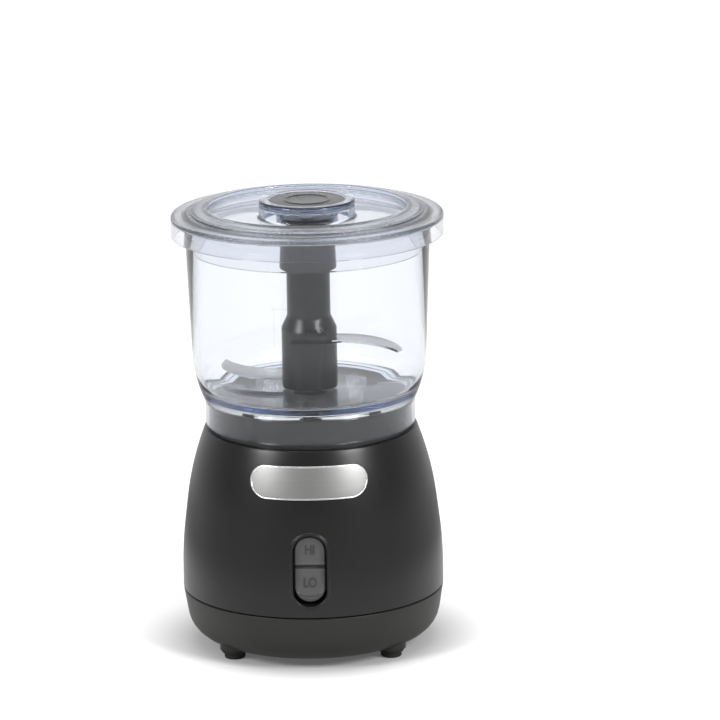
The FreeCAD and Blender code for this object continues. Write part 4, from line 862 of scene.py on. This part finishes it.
# Badge: bare brushed plate with a bright rim, bent to the casing
badge = {
    "size": (59.3, 16.4), "middle": 98.6, "sunk": -0.7,
    "faceWeld": 0.045,          # joins the face's last ring along its middle line
    # inset from the edge and height above the casing
    "rim": [(0.0, -0.3), (0.0, 0.2), (0.1, 0.36), (0.28, 0.46), (0.5, 0.47), (0.68, 0.4), (0.8, 0.28)],
    "face": [(0.5, 0.22), (1.0, 0.24), (2.2, 0.25), (4.0, 0.25), (6.0, 0.25), (7.4, 0.25), (8.19, 0.25)],
}


def plateOnSkin(name, size, middle, rings, back, hollow=False):
    # rings of (inset, height above the casing) laid on its curve, hollow where they leave the middle open
    width, height = size
    count = 240
    points = []
    share = sideShare(width, height)
    layers = [(inset, back) for inset, lift in reversed(rings)] + rings
    for inset, lift in layers:
        for x, z in slotPath(width - 2 * inset, height - 2 * inset, count, share):
            points.append(onSkin(x, z + middle, lift))
    return meshObject(name, points, bands(len(layers), count, closed=hollow))


def makeBadge(b):
    face = plateOnSkin("badgePlate", b["size"], b["middle"], b["face"], b["sunk"])
    give(tidy(face, sharp=50, weld=b["faceWeld"]), "badgeBrushed")
    attach(face, "base", "badge_silver", "badge_plate")
    rim = plateOnSkin("badgeRim", b["size"], b["middle"], b["rim"], b["sunk"], hollow=True)
    give(tidy(rim, sharp=50), "badgeRim")
    attach(rim, "base", "badge_silver", "badge_plate")


makeBadge(badge)
print("badge made")

# Speed rocker: dished paddle, groove across its middle and two marks
rocker = {
    "size": (15.3, 33.4), "middle": 54.4, "front": -64.9, "depth": 5.4, "pivot": -58.1, "tilt": -8.0,
    "dishRadius": 80.0, "dish": 1.7,
    # wide is half its width, and wallShare the part of that which its walls take
    "groove": {"wide": 0.9, "deep": 2.4, "wallShare": 0.14, "lip": 1.6, "lipDrop": 0.55, "rise": 1.0},
    "bevel": {"side": 0.4, "top": 0.7, "bottom": 2.7, "slope": 0.8},
    "line": {"deep": 0.5, "between": (0.025, 0.06)},    # engraved between the lower bevel and the face
    "marks": {"HI": 63.9, "LO": 47.3},
    "mark": {"size": 6.7, "narrow": 0.8, "bold": 0.16, "thick": 0.4, "proud": 0.3},
}


def paddlePoints(r):
    # round the paddle: height, way out from it and how far round an end it lies
    half = (r["size"][1] - r["size"][0]) / 2
    wide, lip = r["groove"]["wide"], r["groove"]["lip"]
    near = [wide * share for share in (0.5, 0.86, 0.93, 1.0)]
    near += [wide + lip * share for share in (0.15, 0.35, 0.6, 0.85, 1.0)]
    rise = r["groove"]["rise"]

    def side(way):
        start = rise * way + near[-1]
        return [rise * way + z for z in near] + [start + (half - start) * share / 5 for share in range(1, 6)]

    rows = [-z for z in reversed(side(-1))] + [rise] + side(1)
    turns = [math.pi * step / 36 for step in range(1, 36)]
    points = [(z, 1, 0, 0) for z in rows]
    points += [(half, math.cos(a), math.sin(a), math.sin(a)) for a in turns]
    points += [(z, -1, 0, 0) for z in reversed(rows)]
    points += [(-half, -math.cos(a), -math.sin(a), -math.sin(a)) for a in turns]
    return points


def paddleMesh(r):
    reach = r["size"][0] / 2
    axis = r["front"] + r["dish"] - r["dishRadius"]
    groove, bevel, line = r["groove"], r["bevel"], r["line"]
    path = paddlePoints(r)
    count = len(path)
    points = []

    def face(z):
        y = axis + math.sqrt(r["dishRadius"] ** 2 - z ** 2)
        wide, lip = groove["wide"], groove["lip"]
        z -= groove["rise"]
        if abs(z) < wide - 0.02:    # points on its very edge belong to the face
            return y + groove["deep"] * min(1, (wide - abs(z)) / (wide * groove["wallShare"]))
        if 0 < z < wide + lip:      # upper half rolls into the groove, the lower half ends sharp
            y += groove["lipDrop"] * (1 - (z - wide) / lip) ** 2
        return y

    layers = [("back", 0)] + [("bevel", share) for share in (0, 0.33, 0.67, 1)]
    layers += [("face", share) for share in (0.0, *line["between"], 0.09, 0.12, 0.3, 0.55, 0.8, 1)]
    for kind, share in layers:
        for z, alongX, alongZ, end in path:
            edge = bevel["side"] + (bevel["top" if end > 0 else "bottom"] - bevel["side"]) * end ** 2
            inset = edge * share if kind == "bevel" else 0
            if kind == "face":
                inset = edge + (reach - edge) * share
            high = z + alongZ * (reach - inset)
            y = face(high) + bevel["slope"] * max(0, edge - inset)
            if kind == "back":
                y = r["front"] + r["depth"]
            elif kind == "face" and end < 0 and share in line["between"]:
                y += line["deep"] * end ** 2
            points.append((alongX * (reach - inset), y, r["middle"] + high))
    return meshObject("rockerPaddle", points, bands(len(layers), count) + [tuple(range(count))])


def makeRocker(r):
    middle = r["middle"]
    paddle = give(tidy(paddleMesh(r), sharp=30, weld=0.004), "rockerGrey")
    pivot = Vector((0, r["pivot"], middle)) * mm
    tilt = Matrix.Rotation(math.radians(r["tilt"]), 4, "X")
    lean = Matrix.Translation(pivot) @ tilt @ Matrix.Translation(-pivot)
    paddle.data.transform(lean)
    attach(paddle, "rocker", "rocker_grey", "speed_rocker")

    style = r["mark"]
    axis = (r["front"] + r["dish"] - r["dishRadius"]) * mm
    for label, height in r["marks"].items():
        mark = flatText("mark" + label, label, style["size"], style["thick"], style["bold"])
        for vertex in mark.data.vertices:
            x, up, out = vertex.co
            z = up + height * mm
            dish = axis + math.sqrt((r["dishRadius"] * mm) ** 2 - (z - middle * mm) ** 2)
            lift = out + (style["proud"] - style["thick"] / 2) * mm
            vertex.co = (x * style["narrow"], dish - lift, z)
        mark.data.transform(lean)
        give(tidy(mark, sharp=30, weld=0.0005), "markGrey")
        attach(mark, "rocker", "rocker_grey")


makeRocker(rocker)
print("rocker made")

# Pedestal that the bowl fits over
pedestal = {
    "radius": 51.2, "low": 114.0, "top": 129.6, "roof": 127.4, "wall": 2.2, "edge": 1.2, "sealSeat": 9.0,
    "plungers": {"circle": 36.5, "radius": 3.3, "angles": (30, 150, 270)},
    "keySlot": (7.6, 49.3), "pocketRoof": 0.5,
}


def makePedestal(p):
    body = turned("pedestalCap", [
        (p["radius"] - p["wall"], p["low"]), (p["radius"], p["low"]), (p["radius"], p["top"], p["edge"]),
        (p["sealSeat"], p["top"], 0.4), (p["sealSeat"], p["roof"]), (p["radius"] - p["wall"], p["roof"])],
        "pedestalGrey", segments=192)
    holes = p["plungers"]
    places = []
    for degrees in holes["angles"]:
        angle = math.radians(degrees)
        places.append((holes["circle"] * math.cos(angle), holes["circle"] * math.sin(angle), 0))
    bore = rodUp("plungerHole", holes["radius"], p["roof"] - over, p["top"] + over)
    combine(body, copied("plungerHoles", bore, places, "pedestalGrey"))
    # pocket round the slot that takes the bowl's key
    width, back = p["keySlot"]
    wall, edge = p["wall"], width / 2
    combine(body, block("keyPocket", (-edge - wall, back - wall, p["low"]),
                        (edge + wall, p["radius"] - over, p["roof"] + p["pocketRoof"])), "UNION")
    combine(body, block("keySlot", (-edge, back, p["low"] - over),
                        (edge, p["radius"] + 2 * over, p["top"] + over)))
    give(tidy(body), "pedestalGrey")
    attach(body, "base", "pedestal_grey", "pedestal")


makePedestal(pedestal)
print("pedestal made")

# Clear bowl: skirt, floor, wall and the chimney round the spindle
bowl = {
    "outline": [
        (51.75, 116.2, 0.4), (53.75, 116.2, 0.7), (53.75, 128.3, 1.5), (59.35, 141.0, 60), (62.6, 223.2, 0.9),
        (60.2, 223.2, 0.7), (56.95, 142.2, 30), (53.7, 134.8, 4.6), (8.0, 134.8, 1.5), (8.0, 152.0, 0.7),
        (6.2, 152.0, 0.4), (6.2, 132.6, 0.6), (51.75, 132.6, 1.6)],
    "key": ((-3.5, 50.15, 116.4), (3.5, 52.6, 129.4)),
    "wallEnds": (3, 4),         # corners between which its wall rises
    "sunk": -0.05,              # how far marks reach into the wall
    "line": {"from": -8.0, "to": 17.5, "height": 171.2, "thick": 0.75, "proud": 0.06},
    "word": {"text": "MAX", "at": (4.75, 176.3), "size": 5.1, "thick": 0.1},
    "scale": {"x": -15.9, "low": 141.5, "high": 188.0, "width": 0.5, "proud": 0.15, "tick": 10.0,
              "tickStart": -1, "tickGap": 0.6},
}


def bowlRadius(height):
    low, high = [Vector(bowl["outline"][corner][:2]) for corner in bowl["wallEnds"]]
    return low.x + (high.x - low.x) * (height - low.y) / (high.y - low.y)


def stripOnBowl(name, path, width, proud, material):
    # thin closed strip along a path of (x, z) points on the bowl's outside
    points = []
    for number, (x, z) in enumerate(path):
        before = Vector(path[max(number - 1, 0)])
        after = Vector(path[min(number + 1, len(path) - 1)])
        along = (after - before).normalized()
        side = Vector((-along.y, along.x)) * width / 2
        for share, lift in ((-1, bowl["sunk"]), (-1, proud), (1, proud), (1, bowl["sunk"])):
            px, pz = x + side.x * share, z + side.y * share
            radius = bowlRadius(pz) + lift
            points.append((px, -math.sqrt(radius ** 2 - px ** 2), pz))
    end = len(points)
    faces = bands(len(path), 4) + [(0, 1, 2, 3), (end - 1, end - 2, end - 3, end - 4)]
    return give(tidy(meshObject(name, points, faces), sharp=40, weld=0.0005), material)


def evenly(start, end, steps):
    return [start + (end - start) * i / steps for i in range(steps + 1)]


def makeBowl(b):
    body = turned("bowl_clear", b["outline"], "bowlClear", segments=224, steps=8)
    combine(body, block("key", *b["key"]), "UNION")
    give(tidy(body), "bowlClear")
    attach(body, "bowl", "clear_bowl", "bowl")

    line = b["line"]
    path = [(x, line["height"]) for x in evenly(line["from"], line["to"], 24)]
    attach(stripOnBowl("fillLine", path, line["thick"], line["proud"], "printBlack"), "bowl", "hub_black")

    mark = b["scale"]
    path = [(mark["x"], z) for z in evenly(mark["low"], mark["high"], 24)]
    rib = stripOnBowl("scaleRib", path, mark["width"], mark["proud"], "bowlClear")
    attach(rib, "bowl", "clear_bowl")
    start = mark["x"] + mark["tickStart"]
    path = [(x, mark["high"] + mark["tickGap"]) for x in evenly(start, start + mark["tick"], 8)]
    tick = stripOnBowl("scaleTick", path, mark["width"], mark["proud"], "bowlClear")
    attach(tick, "bowl", "clear_bowl")

    word = b["word"]
    letters = flatText("fillWord", word["text"], word["size"], word["thick"])
    for vertex in letters.data.vertices:
        x, up, out = vertex.co
        x += word["at"][0] * mm
        z = up + word["at"][1] * mm
        radius = bowlRadius(z / mm) * mm + out
        vertex.co = (x, -math.sqrt(radius ** 2 - x ** 2), z)
    give(tidy(letters, sharp=30, weld=0.0005), "printBlack")
    attach(letters, "bowl", "hub_black")


makeBowl(bowl)
print("bowl made")

# Blade hub: sleeve over the chimney, stem and cap
hub = {
    "outline": [
        (8.6, 136.0, 0.4), (14.2, 136.0, 0.8), (14.2, 164.2, 2.5), (11.2, 170.2, 3), (11.2, 195.5, 1.5),
        (14.6, 197.0, 0.9), (13.3, 223.0, 2.0), (0, 223.0), (0, 175.2), (8.33, 175.2), (8.33, 153.2),
        (8.6, 153.2)],
}
attach(turned("hubBody", hub["outline"], "hubBlack", segments=128), "blade", "hub_black", "blade_hub")
print("hub made")

# Clear lid: skirt, stepped ring, recess, press boss, plug and guide collar
lid = {
    "outline": [
        (67.1, 214.2, 0.4), (69.3, 214.2, 0.7), (69.3, 224.8, 1.5), (59.2, 226.6, 0.3), (58.7, 227.5, 0.35),
        (50.5, 229.1, 0.9), (50.0, 222.9, 1.3), (24.4, 222.9, 1.2), (24.4, 232.1, 1.2), (19.8, 232.1, 0.4),
        (19.6, 230.7), (0, 230.7), (0, 223.4), (3.0, 223.4, 0.6), (3.0, 228.5, 0.6), (14.0, 228.5, 0.5),
        (14.0, 219.4, 0.4), (15.8, 219.4, 0.4), (15.8, 228.5, 0.5), (22.2, 228.5, 0.8), (22.2, 220.7, 0.6),
        (52.2, 220.7, 0.8), (52.7, 226.9, 0.6), (57.0, 225.3, 0.6), (57.0, 206.6, 0.5), (59.0, 206.6, 0.6),
        (59.0, 223.2), (63.6, 223.2, 0.3), (67.1, 222.6, 0.9)],
    "disc": [(0, 230.7), (19.4, 230.7), (19.4, 231.6, 0.35), (12.4, 231.6, 0.3), (12.0, 231.95, 0.2),
             (10.8, 231.95, 0.2), (10.4, 231.6, 0.3), (0, 231.6)],
}


def makeLid(l):
    attach(turned("lidClear", l["outline"], "lidClear", segments=240, steps=8), "lid", "clear_lid", "lid")
    attach(turned("pressDisc", l["disc"], "discSmoke", segments=128), "lid", "smoke_disc", "lid_press_disc")


makeLid(lid)
print("lid made")


# CAD nodes that stay: every one gets its finish, and smooth faces where it is round
def dressNodes():
    slots = {row["node"]: row["material_slot"] for row in frame["record"]["subparts"]}
    for name, node in frame["nodes"].items():
        material = finish[slotFinish[slots[name]]]
        if not node.material_slots:
            node.data.materials.append(material)
        for place in node.material_slots:
            place.material = material
        if not node.hide_render:
            smooth = node.modifiers.new("smooth", "NODES")
            smooth.node_group = smoothTree
            smooth[smoothKeys["Sharp Angle"]] = math.radians(sharpAngle)


dressNodes()
print("frame nodes dressed")
